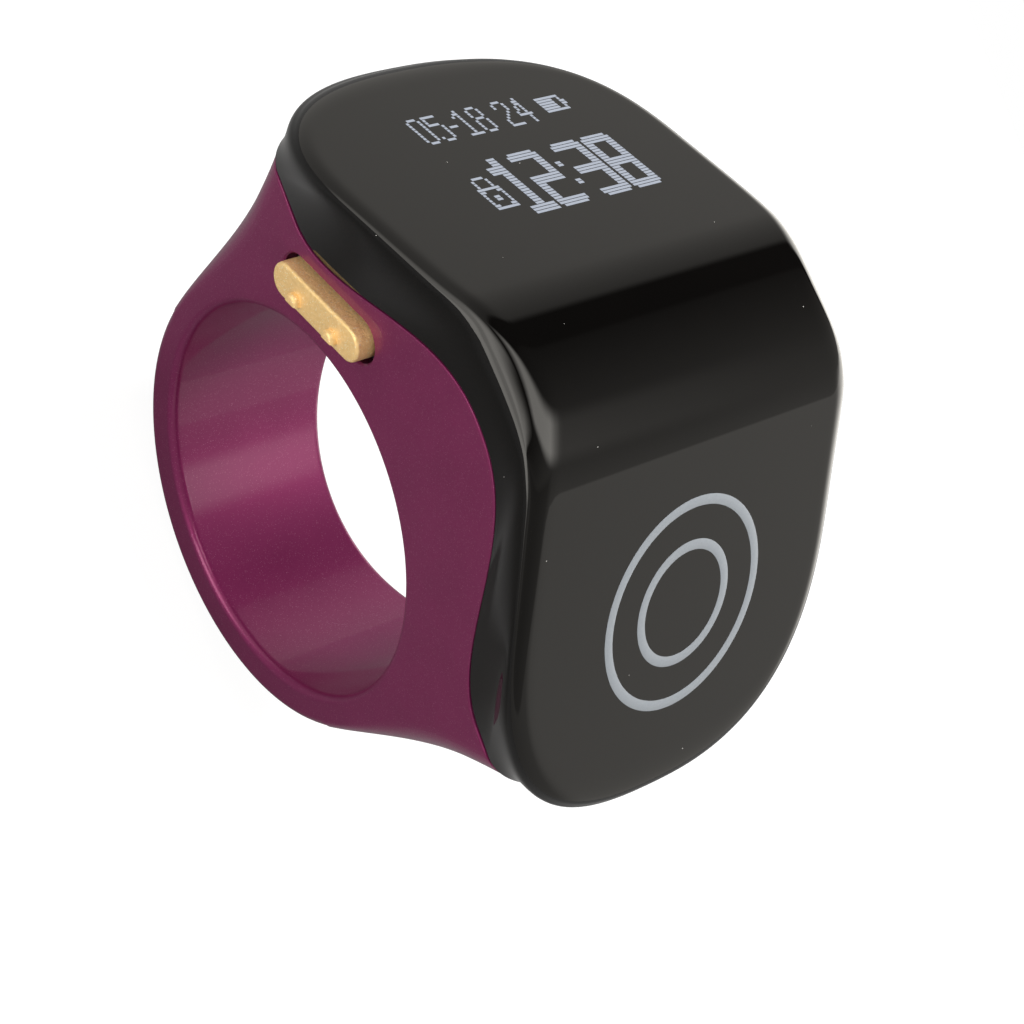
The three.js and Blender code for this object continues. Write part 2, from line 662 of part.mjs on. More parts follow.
// Flat ribbon along a path in the YZ plane
function ribbon(path, thickness, low, high) {
  const points = path.map(([y, z]) => new THREE.Vector2(y, z));
  const sides = [1, -1].map((side) => points.map((point, i) => {
    const before = points[Math.max(i - 1, 0)];
    const after = points[Math.min(i + 1, points.length - 1)];
    const into = point.clone().sub(before).normalize();
    const out = after.clone().sub(point).normalize();
    const run = into.add(out).normalize();
    const arriving = i ? point.clone().sub(before).normalize() : out;
    const stretch = thickness / 2 / Math.max(Math.abs(run.dot(arriving)), 0.5);
    return [point.x - side * run.y * stretch, point.y + side * run.x * stretch];
  }));
  return extrudeAlongX([...sides[1], ...sides[0].reverse()], low, high);
}

function flexes(underPanel, underTouch) {
  const boardTop = BOARD_TOP + FLEX_THICKNESS / 2 + FINE_GAP;
  const edge = BOARD.length / 2;
  const face = (side, distance, along) => [
    side * (distance * Math.sin(FACE_TILT) + along * Math.cos(FACE_TILT)),
    distance * Math.cos(FACE_TILT) - along * Math.sin(FACE_TILT),
  ];
  const display = underPanel - FLEX_THICKNESS / 2 - FINE_GAP;
  const touch = underTouch - FLEX_THICKNESS / 2 - FINE_GAP;
  const path = (side, top, { start, bend, end, dip, landing, run }) => [
    face(side, top, -start), face(side, top, -bend), face(side, top - dip, -end),
    [side * (edge - landing), boardTop], [side * (edge - landing - run), boardTop],
  ];
  const displayPath = path(1, display, DISPLAY_FLEX);
  const touchPath = path(-1, touch, TOUCH_FLEX);
  const displaySide = FRAME.high + SEAT_GAP;
  const touchSide = FRAME.low - SEAT_GAP;
  add("display_flex", ribbon(displayPath, FLEX_THICKNESS, displaySide, displaySide + FLEX_WIDTH), FLEX_AMBER);
  add("touch_flex", ribbon(touchPath, FLEX_THICKNESS, touchSide - FLEX_WIDTH, touchSide), FLEX_AMBER);
}

function arcBlock(inner, outer, low, high) {
  const steps = 14;
  const arc = (radius) => Array.from({ length: steps + 1 }, (unused, i) => {
    const angle = Math.PI / 2 - CELL_HALF_ANGLE + (2 * CELL_HALF_ANGLE * i) / steps;
    return [radius * Math.cos(angle), radius * Math.sin(angle)];
  });
  return extrudeAlongX([...arc(outer), ...arc(inner).reverse()], low, high);
}

function battery() {
  add("battery_cell", arcBlock(CELL_INNER, CELL_OUTER, CELL.low, CELL.high), FOIL);
  const tapeTop = CELL_INNER - TAPE_GAP;
  add("battery_tape", arcBlock(tapeTop - TAPE_THICKNESS, tapeTop, CELL.low + 1, CELL.high - 1), FOAM_GREY);
  const leads = { battery_lead_red: [1, LEAD_RED], battery_lead_black: [-1, LEAD_BLACK] };
  for (const [name, [side, finish]] of Object.entries(leads)) {
    const y = (side * LEAD_SPACING) / 2;
    const start = new THREE.Vector3(CELL.high + FINE_GAP, y, CELL_OUTER - CELL.thickness / 2);
    const end = new THREE.Vector3(CELL.high + LEAD_REACH, y, BOARD_BOTTOM - FINE_GAP);
    const corner = new THREE.Vector3(end.x, y, start.z);
    const path = new THREE.QuadraticBezierCurve3(start, corner, end);
    const shape = new THREE.Shape().absarc(0, 0, LEAD_DIAMETER / 2, 0, 2 * Math.PI, false);
    add(name, new THREE.ExtrudeGeometry(shape, { steps: 8, extrudePath: path, curveSegments: 4 }), finish);
  }
}

function motor() {
  const group = new THREE.Group();
  group.position.set(0, 0, MOTOR_HEIGHT);
  part.add(group);
  const high = MOTOR.low + MOTOR.length;
  const shaftStart = high - SHAFT.inside;
  const rotorStart = high + ROTOR.gap;
  const rotorEnd = rotorStart + ROTOR.length;
  const can = cylinderAlongX(MOTOR.radius, MOTOR.low, high, 32);
  const hole = cylinderAlongX(ROTOR.bore, shaftStart - SHAFT.clear, FAR, 16);
  add("motor_can", cut(can, hole), STEEL, group);
  const shaft = cylinderAlongX(MOTOR_SHAFT_RADIUS, shaftStart, rotorEnd + SHAFT.proud, 16);
  add("motor_shaft", shaft, STEEL, group);
  const full = cylinderAlongX(ROTOR.radius, rotorStart, rotorEnd, 32);
  const away = box([-FAR, -FAR, ROTOR.flat], [FAR, FAR, FAR]);
  add("motor_weight", cut(full, away, cylinderAlongX(ROTOR.bore, -FAR, FAR, 16)), STEEL, group);
  const seat = FRAME_TOP - MOTOR_HEIGHT;
  const [w, l] = [CRADLE.width / 2, CRADLE.length / 2];
  const middle = MOTOR.low + MOTOR.length / 2;
  const block = box([middle - w, -l, seat + FINE_GAP], [middle + w, l, seat + FINE_GAP + CRADLE.rise]);
  const motorHole = cylinderAlongX(MOTOR.radius + FINE_GAP, -FAR, FAR, 32);
  add("motor_cradle", cut(block, motorHole), BLACK_RUBBER, group);
}

function sideButton(group) {
  const cap = stadium(BUTTON.length, BUTTON.width, -BUTTON.depth - 0.2, BUTTON.proud);
  const flangeTop = -BODY_WALL - SEAT_GAP;
  const flange = stadium(FLANGE.length, FLANGE.width, flangeTop - FLANGE.thickness, flangeTop)
    .translate(0, -FLANGE.shift, 0);
  const stem = stadium(BUTTON.length - 1, BUTTON.width - 0.9, flangeTop - 0.1, -BUTTON.depth)
    .translate(0, -FLANGE.shift, 0);
  const nubs = [-1, 1].map((side) => {
    const dome = new THREE.SphereGeometry(NUB.radius, 16, 10);
    return dome.scale(1, 1, NUB.height / NUB.radius)
      .translate((side * NUB.spacing) / 2, -NUB.shift, BUTTON.proud);
  });
  add("side_button", join(cap, flange, stem, ...nubs), GOLD_PAINT, group);
  return flangeTop - FLANGE.thickness;
}

function buttonSeal(group) {
  const outer = stadium(BUTTON.length + BUTTON_GAP * 1.6, BUTTON.width + BUTTON_GAP * 1.6, -1.2, -0.7);
  const inner = stadium(BUTTON.length + FINE_GAP, BUTTON.width + FINE_GAP, -2, 0);
  add("button_seal", cut(outer, inner), BLACK_RUBBER, group);
}

function tactSwitch(group, under) {
  const plungerTop = under - SWITCH.gap;
  const bodyTop = plungerTop - SWITCH.rise;
  const bodyBottom = bodyTop - SWITCH.thickness;
  const [l, w] = [SWITCH.length / 2, SWITCH.width / 2];
  const shift = -FLANGE.shift;
  const body = box([-l, shift - w, bodyBottom], [l, shift + w, bodyTop]);
  const well = disc(SWITCH.plunger + FINE_GAP, bodyTop - 0.7, bodyTop + 1, 24).translate(0, shift, 0);
  add("switch_body", cut(body, well), STEEL, group);
  const plunger = disc(SWITCH.plunger, bodyTop - 0.35, plungerTop, 24).translate(0, shift, 0);
  add("switch_plunger", plunger, CHIP_BLACK, group);
  const boardTop = bodyBottom - FINE_GAP;
  const [bl, bw] = [SWITCH_BOARD.length / 2, SWITCH_BOARD.width / 2];
  const board = box([-bl, shift - bw, boardTop - SWITCH_BOARD.thickness], [bl, shift + bw, boardTop]);
  add("switch_board", board, BOARD_GREEN, group);
}

function chargeContacts(group) {
  const block = stadium(CARRIER.length, CARRIER.width, -CARRIER.depth, 0);
  const places = [-1, 1].map((side) => (side * CONTACT.spacing) / 2);
  const holes = places.map((x) => disc(CONTACT.radius + FINE_GAP, -FAR, FAR, 24).translate(x, 0, 0));
  add("contact_carrier", cut(block, ...holes), BLACK_RUBBER, group);
  places.forEach((x, i) => {
    const pin = disc(CONTACT.radius, -CONTACT.depth, 0, 24).translate(x, 0, 0);
    add(`contact_pin_${i + 1}`, pin, CONTACT_GOLD, group);
  });
}

const displayGroup = faceGroup(1);
const touchGroup = faceGroup(-1);
const buttonGroup = sideGroup(-1);
const contactGroup = sideGroup(1);

ringBody();
headCover();
coverSeal();
touchMarks(touchGroup);
const underPanel = displayStack(displayGroup);
const underTouch = touchStack(touchGroup);
innerFrame(underPanel);
mainBoard();
flexes(underPanel, underTouch);
battery();
motor();
const underFlange = sideButton(buttonGroup);
buttonSeal(buttonGroup);
tactSwitch(buttonGroup, underFlange);
chargeContacts(contactGroup);

export default part;
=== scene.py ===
# %% [markdown]
# A smart counter ring, dressed for a studio picture.
# The solid model of the ring is made elsewhere and arrives packed, with its moving bodies.
# Here its visible pieces are rebuilt at a finer scale, and every piece gets a finish made of nodes.
# Lengths in this file are millimetres, and one helper turns them into metres at the end.

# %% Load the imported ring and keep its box
import math
from collections import Counter
import bmesh
import bpy
import numpy as np
from mathutils import Matrix, Vector


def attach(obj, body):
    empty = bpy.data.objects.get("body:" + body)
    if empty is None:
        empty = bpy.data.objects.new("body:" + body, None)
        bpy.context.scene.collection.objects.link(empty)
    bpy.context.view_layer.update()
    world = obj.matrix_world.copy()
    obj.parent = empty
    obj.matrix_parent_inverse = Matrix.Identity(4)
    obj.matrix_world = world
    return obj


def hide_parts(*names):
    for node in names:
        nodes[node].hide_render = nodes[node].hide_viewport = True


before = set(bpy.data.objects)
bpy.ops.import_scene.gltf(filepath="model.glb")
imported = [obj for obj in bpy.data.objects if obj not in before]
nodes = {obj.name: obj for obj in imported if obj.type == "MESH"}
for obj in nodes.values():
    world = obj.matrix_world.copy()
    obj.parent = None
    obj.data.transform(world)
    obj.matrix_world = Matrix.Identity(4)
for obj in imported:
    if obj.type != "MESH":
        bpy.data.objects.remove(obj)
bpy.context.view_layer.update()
for packed in bpy.data.materials:
    packed.name = "packed_" + packed.name

# %% [markdown]
# The camera stands where the photographer stood, about fifteen centimetres from the ring.
# It was found by matching the display's dots, both edges of the finger hole and the touch marks,
# so it is written as three axes and a place. Its lens is long, which keeps the perspective gentle.

# %% Camera
camera_right = Vector((0.6850, -0.3471, 0.6406))
camera_down = Vector((-0.2224, -0.9369, -0.2698))
camera_ahead = Vector((0.6938, 0.0423, -0.7189))
ring_from_camera = (-5.7827, 2.0841, 151.5269)
camera_place = -(camera_right * ring_from_camera[0] + camera_down * ring_from_camera[1]
                 + camera_ahead * ring_from_camera[2]) * 0.001


def add_object(name, data):
    made = bpy.data.objects.new(name, data)
    bpy.context.scene.collection.objects.link(made)
    return made


camera_data = bpy.data.cameras.new("product_camera")
camera = add_object("product_camera", camera_data)
camera_axes = Matrix((camera_right, -camera_down, -camera_ahead)).transposed()
camera.matrix_world = Matrix.Translation(camera_place) @ camera_axes.to_4x4()
picture_pixels, focal_pixels, centre_x, centre_y = 1024, 3000, 497, 428
camera_data.sensor_width = 36.0
camera_data.lens = 36.0 * focal_pixels / picture_pixels
camera_data.shift_x = (picture_pixels / 2 - centre_x) / picture_pixels
camera_data.shift_y = (centre_y - picture_pixels / 2) / picture_pixels
camera_data.clip_start = 0.01
camera_data.clip_end = 20
bpy.context.scene.camera = camera
bpy.context.scene.view_settings.view_transform = "Standard"
print("camera at", [round(c, 4) for c in camera_place])

# %% [markdown]
# Black gloss shows hardly any colour of its own, so what it mirrors is its look.
# A few long soft lights across the room would do, but each adds noise and needs hiding from the camera.
# The room is instead painted on the world: pale and dark strips that run along the finger's direction.
# Each strip is a stop of one colour ramp, read with the angle of a direction round the finger.

# %% Small helpers for node trees
def add_node(tree, kind, **settings):
    made = tree.nodes.new("ShaderNode" + kind)
    for key, value in settings.items():
        setattr(made, key, value)
    return made


def feed(tree, socket, source):
    if isinstance(source, bpy.types.NodeSocket):
        tree.links.new(source, socket)
    else:
        socket.default_value = source


def fill(tree, node, **sources):
    for label, source in sources.items():
        feed(tree, node.inputs[label.replace("_", " ")], source)


def maths(tree, operation, *sources, clamp=False):
    made = add_node(tree, "Math", operation=operation, use_clamp=clamp)
    for socket, source in zip(made.inputs, sources):
        feed(tree, socket, source)
    return made.outputs[0]


def vector_maths(tree, operation, first, second=None, scale=None):
    made = add_node(tree, "VectorMath", operation=operation)
    sockets = made.inputs[0], made.inputs[1], made.inputs[3]
    for socket, source in zip(sockets, (first, second, scale)):
        if source is not None:
            feed(tree, socket, source)
    return made.outputs[0]


def ramp(tree, source, stops):
    made = add_node(tree, "ValToRGB")
    points = made.color_ramp.elements
    while len(points) < len(stops):
        points.new(0.5)
    for point, (place, tone) in zip(points, stops):
        point.position = place
        point.color = (tone, tone, tone, 1)
    feed(tree, made.inputs[0], source)
    return made.outputs[0]


print("node helpers ready")

# %% The room as strips of light
world = bpy.data.worlds.new("studio")
bpy.context.scene.world = world
world.use_nodes = True
sky = world.node_tree
sky.nodes.clear()
split = add_node(sky, "SeparateXYZ")
fill(sky, split, Vector=add_node(sky, "TexCoord").outputs["Generated"])
sideways = split.outputs["X"]
angle = maths(sky, "ARCTAN2", split.outputs["Y"], split.outputs["Z"])
turn = maths(sky, "MULTIPLY_ADD", angle, 1 / (2 * math.pi), 0.5)


def strip_place(degrees):
    return degrees / 360 + 0.5


def slide(tree, source, start, end, low=0.0, high=1.0):
    made = add_node(tree, "MapRange", interpolation_type="SMOOTHSTEP")
    fill(tree, made, Value=source, From_Min=start, From_Max=end, To_Min=low, To_Max=high)
    return made.outputs["Result"]


strips = [(-180, 0.4), (-100, 0.55), (-72, 0.66), (-64.5, 0.72), (-63.5, 0.42), (-50, 0.36), (-30, 0.31),
          (-15, 0.22), (0, 0.15), (15, 0.09), (26, 0.05), (28.5, 0.01), (47, 0.01), (51, 0.30), (62, 0.42),
          (75, 0.57), (115, 0.60), (180, 0.4)]
leaning = maths(sky, "ADD", turn, maths(sky, "MULTIPLY_ADD", sideways, -15 / 360, 15 * 0.7 / 360))
strip_light = ramp(sky, leaning, [(strip_place(degrees), tone) for degrees, tone in strips])
near_touch = slide(sky, turn, strip_place(-60), strip_place(-40))
touch_end = slide(sky, sideways, 0.45, 0.62, 0.62, 1.0)
strip_light = maths(sky, "MULTIPLY", strip_light, maths(sky, "MAXIMUM", near_touch, touch_end))
print("strips of light", len(strips))

# %% [markdown]
# Three brighter places stand out from the strips: a long lamp that leans across the room,
# and the two ends of the room, beyond the far side of the ring and on the camera's side of it.
# They are added to the strips instead of drawn into them, because they change along the finger too.

# %% A long lamp and two bright ends
lamp_lean = maths(sky, "MULTIPLY_ADD", sideways, 37 / 360, -0.5 * 37 / 360)
from_lamp = maths(sky, "SUBTRACT", maths(sky, "ADD", turn, lamp_lean), strip_place(-22))
off_middle = maths(sky, "ABSOLUTE", from_lamp)
lamp_width = slide(sky, off_middle, 7 / 360, 19 / 360, 1.0, 0.0)
lamp_ends = ramp(sky, maths(sky, "MULTIPLY_ADD", sideways, 0.5, 0.5),
                 [(0.20, 0.0), (0.34, 1.0), (0.75, 1.0), (0.81, 0.45), (0.85, 0.08), (0.88, 0.0)])
long_lamp = maths(sky, "MULTIPLY", maths(sky, "MULTIPLY", lamp_width, lamp_ends), 3.0)
far_turns = [(-180, 1.0), (-62, 1.0), (-48, 0.0), (44, 0.0), (52, 1.0), (180, 1.0)]
far_mask = ramp(sky, turn, [(strip_place(degrees), share) for degrees, share in far_turns])
far_light = maths(sky, "MULTIPLY", slide(sky, sideways, 0.80, 0.95, 0.0, 2.6), far_mask)
near_turns = [(-180, 1.0), (-165, 1.0), (-140, 0.0), (0, 0.0), (14, 1.0), (40, 1.0), (70, 0.6), (130, 0.6),
              (160, 1.0), (180, 1.0)]
near_mask = ramp(sky, turn, [(strip_place(degrees), share) for degrees, share in near_turns])
near_light = maths(sky, "MULTIPLY", slide(sky, sideways, -0.98, -0.62, 3.0, 0.0), near_mask)
lamps_light = maths(sky, "ADD", maths(sky, "ADD", long_lamp, near_light), far_light)
total = maths(sky, "ADD", strip_light, lamps_light)
warm_light = vector_maths(sky, "SCALE", (1.0, 0.965, 0.90), scale=total)
seen = add_node(sky, "LightPath")
room, backdrop = add_node(sky, "Background"), add_node(sky, "Background")
fill(sky, room, Color=warm_light)
fill(sky, backdrop, Color=(1, 1, 1, 1))
choose = add_node(sky, "MixShader")
shares = (seen.outputs["Is Camera Ray"], room.outputs[0], backdrop.outputs[0])
for socket, source in zip(choose.inputs, shares):
    feed(sky, socket, source)
fill(sky, add_node(sky, "OutputWorld"), Surface=choose.outputs[0])
print("room ready", len(sky.nodes), "nodes")

# %% [markdown]
# Three area lamps give the coloured sides their plain light: one from the left, one from the front
# and one from the far side that shines down into the finger hole. Being broad, they shade softly.
# Gloss doesn't mirror them, because what the black mirrors is already painted in the room.

# %% Lamps
def soft_lamp(name, place, target, size, power):
    data = bpy.data.lights.new(name, "AREA")
    data.shape = "RECTANGLE"
    data.size = data.size_y = size
    data.energy = power
    lamp = add_object(name, data)
    lamp.location = place
    lamp.rotation_euler = (Vector(target) - Vector(place)).to_track_quat("-Z", "Y").to_euler()
    lamp.visible_camera = False
    lamp.visible_glossy = False


soft_lamp("left_lamp", (-0.42, 0.10, 0.10), (0, 0, 0.005), 0.30, 1.9)
soft_lamp("front_lamp", (-0.25, -0.35, 0.20), (0, 0, 0.0), 0.20, 0.9)
soft_lamp("far_lamp", (0.26, 0.02, 0.26), (0, 0, -0.008), 0.12, 2.4)

# %% [markdown]
# The floor is a plain pale sheet just under the ring.
# Lit paper would render slightly grey and throw light up into the black gloss. So its own colour is low,
# and a glow that only the camera sees lifts it to white. The soft shadow still shows in its own colour.

# %% Floor
floor_mesh = bpy.data.meshes.new("paper")
floor_height, floor_half = -12.9 * 0.001, 0.08
corners = [(x * floor_half, y * floor_half, floor_height) for x, y in ((-1, -1), (1, -1), (1, 1), (-1, 1))]
floor_mesh.from_pydata(corners, [], [(0, 1, 2, 3)])
floor = add_object("paper", floor_mesh)
paper = bpy.data.materials.new("paper")
paper.use_nodes = True
tree = paper.node_tree
tree.nodes.clear()
sheet = add_node(tree, "BsdfPrincipled")
fill(tree, sheet, Base_Color=(0.14, 0.14, 0.14, 1), Roughness=0.9, Specular_IOR_Level=0.0)
glow = add_node(tree, "Emission")
ray = add_node(tree, "LightPath")
camera_glow = 0.90
fill(tree, glow, Strength=maths(tree, "MULTIPLY", ray.outputs["Is Camera Ray"], camera_glow))
both = add_node(tree, "AddShader")
feed(tree, both.inputs[0], sheet.outputs[0])
feed(tree, both.inputs[1], glow.outputs[0])
fill(tree, add_node(tree, "OutputMaterial"), Surface=both.outputs[0])
floor_mesh.materials.append(paper)
print("floor at", floor_height)

# %% [markdown]
# Several finishes share the same small effects, so each effect is a node group with named sockets.
# A group is built once and placed in each material with its own values.
# The first is grain: fine unevenness of paint, rubber or foam, given out as a mask and as a height.

# %% Group for grain
def new_group(name, inputs, outputs):
    made = bpy.data.node_groups.new(name, "ShaderNodeTree")
    for label, value in inputs.items():
        socket = made.interface.new_socket(name=label, in_out="INPUT", socket_type="NodeSocketFloat")
        socket.default_value = value
    for label, kind in outputs.items():
        made.interface.new_socket(name=label, in_out="OUTPUT", socket_type="NodeSocket" + kind)
    return made, made.nodes.new("NodeGroupInput"), made.nodes.new("NodeGroupOutput")


def noise(tree, scale, detail, roughness):
    made = add_node(tree, "TexNoise")
    place = add_node(tree, "TexCoord").outputs["Object"]
    fill(tree, made, Vector=place, Scale=scale, Detail=detail, Roughness=roughness)
    return made.outputs["Fac"]


def scattered_cells(tree, per_mm):
    cells = add_node(tree, "TexVoronoi", feature="F1")
    place = add_node(tree, "TexCoord").outputs["Object"]
    fill(tree, cells, Vector=place, Scale=maths(tree, "MULTIPLY", per_mm, 1000.0))
    chances = add_node(tree, "SeparateColor")
    fill(tree, chances, Color=cells.outputs["Color"])
    return cells, chances.outputs


grain_group, start, end = new_group(
    "grain", {"Grains per mm": 8.0, "Contrast": 0.5}, {"Mask": "Float", "Height": "Float"})
fine = noise(grain_group, maths(grain_group, "MULTIPLY", start.outputs["Grains per mm"], 1000.0), 4.0, 0.6)
centred = maths(grain_group, "SUBTRACT", fine, 0.5)
spread = maths(grain_group, "MULTIPLY", centred, start.outputs["Contrast"])
fill(grain_group, end, Mask=maths(grain_group, "ADD", spread, 0.5, clamp=True), Height=fine)
print("grain group sockets", len(grain_group.interface.items_tree))

# %% [markdown]
# Pearl lacquer and metallic paint hold tiny flakes that each lie at a slightly different tilt.
# A picture of sparkle would swim or repeat, so small cells are used, each with its own random tilt.
# The tilt bends the normal a little, and a few cells are marked as bright flakes.

# %% Group for flakes
flake_group, start, end = new_group(
    "flakes", {"Flakes per mm": 14.0, "Tilt": 0.06, "Rarity": 0.96}, {"Sparkle": "Float", "Normal": "Vector"})
cells, chances = scattered_cells(flake_group, start.outputs["Flakes per mm"])
shift = vector_maths(flake_group, "SUBTRACT", cells.outputs["Color"], (0.5, 0.5, 0.5))
lean = vector_maths(flake_group, "SCALE", shift, scale=start.outputs["Tilt"])
normal = add_node(flake_group, "NewGeometry").outputs["Normal"]
tilted = vector_maths(flake_group, "ADD", normal, lean)
bright = maths(flake_group, "GREATER_THAN", chances[0], start.outputs["Rarity"])
fill(flake_group, end, Normal=vector_maths(flake_group, "NORMALIZE", tilted), Sparkle=bright)
print("flake group sockets", len(flake_group.interface.items_tree))

# %% [markdown]
# Polished black shows every speck of dust and the faint film that fingers leave.
# Specks are rare small dots, found as the middles of a few cells.
# The film is a very soft noise that makes the gloss a touch less sharp in places.

# %% Group for dust and film
dust_group, start, end = new_group(
    "dust", {"Specks per mm": 0.5, "Speck size": 0.05, "Film": 0.5}, {"Specks": "Float", "Film": "Float"})
cells, chances = scattered_cells(dust_group, start.outputs["Specks per mm"])
near = maths(dust_group, "LESS_THAN", cells.outputs["Distance"], start.outputs["Speck size"])
specks = maths(dust_group, "MULTIPLY", near, maths(dust_group, "GREATER_THAN", chances[1], 0.55))
film = maths(dust_group, "MULTIPLY", noise(dust_group, 140.0, 2.0, 0.5), start.outputs["Film"])
fill(dust_group, end, Specks=specks, Film=film)
print("dust group sockets", len(dust_group.interface.items_tree))

# %% [markdown]
# Every finish below is one Principled shader with its plain numbers set on the shader itself.
# What varies over the surface, such as colour, roughness and normal, is linked in from the groups.

# %% Helpers for finishes
finishes = {}


def finish(name, colour, roughness, metallic=0.0, coat=0.0, sheen=0.0):
    material = bpy.data.materials.new(name)
    material.use_nodes = True
    tree = material.node_tree
    shader = next(n for n in tree.nodes if n.type == "BSDF_PRINCIPLED")
    fill(tree, shader, Base_Color=(*colour, 1), Roughness=roughness, Metallic=metallic, IOR=1.5,
         Coat_Weight=coat, Coat_Roughness=0.05, Sheen_Weight=sheen)
    finishes[name] = material
    return tree, shader


def use_group(tree, group, **values):
    made = add_node(tree, "Group", node_tree=group)
    fill(tree, made, **values)
    return made


def blend_colours(tree, mask, first, second):
    made = add_node(tree, "Mix", data_type="RGBA")
    feed(tree, made.inputs[0], mask)
    for socket, colour in ((made.inputs[6], first), (made.inputs[7], second)):
        feed(tree, socket, (*colour, 1) if isinstance(colour, tuple) else colour)
    return made.outputs[2]


def range_of(tree, mask, low, high):
    made = add_node(tree, "MapRange")
    fill(tree, made, Value=mask, To_Min=low, To_Max=high)
    return made.outputs["Result"]


def bump(tree, height, depth, **under):
    made = add_node(tree, "Bump")
    fill(tree, made, Strength=1.0, Distance=depth * 0.001, Height=height, **under)
    return made.outputs[0]


print("finish helpers ready")

# %% [markdown]
# The body is painted in a purple pearl lacquer: a deep plum base with fine flakes under a clear coat.
# The base is mostly metallic, so its colour deepens where it mirrors itself inside the finger hole.

# %% Pearl lacquer
tree, shader = finish("pearl_purple", (0.25, 0.027, 0.115), 0.34, metallic=0.76, coat=0.6)
flakes = use_group(tree, flake_group, Flakes_per_mm=30.0, Tilt=0.10, Rarity=0.97)
grain = use_group(tree, grain_group, Grains_per_mm=0.35, Contrast=0.9)
plum = blend_colours(tree, grain.outputs["Mask"], (0.225, 0.024, 0.102), (0.275, 0.031, 0.128))
pearl = blend_colours(tree, flakes.outputs["Sparkle"], plum, (0.34, 0.09, 0.20))
fill(tree, shader, Base_Color=pearl, Normal=flakes.outputs["Normal"],
     Roughness=range_of(tree, grain.outputs["Mask"], 0.38, 0.46))
print("lacquer", finishes["pearl_purple"].name)

# %% [markdown]
# The cover is moulded in black and polished. It is nearly black, with a warm tint,
# and mirrors the strips of light. A matt base with a coat would do as well, but needs one more layer.

# %% Polished black
tree, shader = finish("black_gloss", (0.0018, 0.0016, 0.0015), 0.035)
dust = use_group(tree, dust_group, Specks_per_mm=0.75, Speck_size=0.024, Film=0.5)
grain = use_group(tree, grain_group, Grains_per_mm=0.12, Contrast=1.0)
black = blend_colours(tree, grain.outputs["Mask"], (0.0014, 0.0013, 0.0012), (0.0022, 0.0019, 0.0018))
specked = blend_colours(tree, dust.outputs["Specks"], black, (0.30, 0.29, 0.28))
fill(tree, shader, Base_Color=specked, Roughness=range_of(tree, dust.outputs["Film"], 0.025, 0.065))
print("cover finish", finishes["black_gloss"].name)

# %% [markdown]
# The button wears a gold metallic paint with a coarse sparkle and a slightly pebbled skin.

# %% Gold paint
tree, shader = finish("gold_paint", (0.88, 0.60, 0.26), 0.40, metallic=0.60)
flakes = use_group(tree, flake_group, Flakes_per_mm=22.0, Tilt=0.25, Rarity=0.95)
grain = use_group(tree, grain_group, Grains_per_mm=5.0, Contrast=1.2)
warm = blend_colours(tree, grain.outputs["Mask"], (0.80, 0.52, 0.20), (0.97, 0.69, 0.34))
gold = blend_colours(tree, flakes.outputs["Sparkle"], warm, (0.95, 0.80, 0.52))
fill(tree, shader, Base_Color=gold, Roughness=range_of(tree, grain.outputs["Mask"], 0.36, 0.5),
     Normal=bump(tree, grain.outputs["Height"], 0.03, Normal=flakes.outputs["Normal"]))
print("button finish", finishes["gold_paint"].name)

# %% [markdown]
# The touch marks are screen printed in a pale blue grey. Print is matt, and its ink has a faint mottle.

# %% Print
tree, shader = finish("grey_print", (0.187, 0.203, 0.223), 0.45)
grain = use_group(tree, grain_group, Grains_per_mm=9.0, Contrast=1.3)
ink = blend_colours(tree, grain.outputs["Mask"], (0.164, 0.180, 0.200), (0.210, 0.227, 0.246))
fill(tree, shader, Base_Color=ink, Normal=bump(tree, grain.outputs["Height"], 0.004))
print("print", finishes["grey_print"].name)

# %% [markdown]
# The display glows through the black cover. Each lit dot is brightest in its middle,
# so the light follows a wave across the display that shares its dot spacing.

# %% Lit dots
dot_wide, dot_tall = 0.178, 0.2045
tree, shader = finish("lit_dots", (0.02, 0.02, 0.022), 0.12)
split = add_node(tree, "SeparateXYZ")
fill(tree, split, Vector=add_node(tree, "TexCoord").outputs["Object"])
wave = maths(tree, "COSINE", maths(tree, "MULTIPLY", split.outputs["X"], 2 * math.pi / (dot_wide * 0.001)))
level = range_of(tree, wave, 0.88, 1.0)
mottle = use_group(tree, grain_group, Grains_per_mm=6.0, Contrast=0.5)
cool = blend_colours(tree, maths(tree, "MULTIPLY", level, mottle.outputs["Mask"]), (0.36, 0.42, 0.53),
                     (0.80, 0.86, 0.98))
fill(tree, shader, Emission_Color=cool, Emission_Strength=0.7)
print("dots", dot_wide, dot_tall)

# %% [markdown]
# The pieces inside are seldom seen, yet each gets its own finish:
# satin mouldings, solder mask, foil, foam, steel, film and plated contacts.

# %% Finishes of the inner pieces
def satin(name, low, high, roughness, grains, depth, metallic=0.0, sheen=0.0):
    tree, shader = finish(name, low, roughness, metallic=metallic, sheen=sheen)
    grain = use_group(tree, grain_group, Grains_per_mm=grains, Contrast=1.2)
    mask = grain.outputs["Mask"]
    fill(tree, shader, Base_Color=blend_colours(tree, mask, low, high),
         Roughness=range_of(tree, mask, roughness * 0.85, min(roughness * 1.15, 1.0)),
         Normal=bump(tree, grain.outputs["Height"], depth))


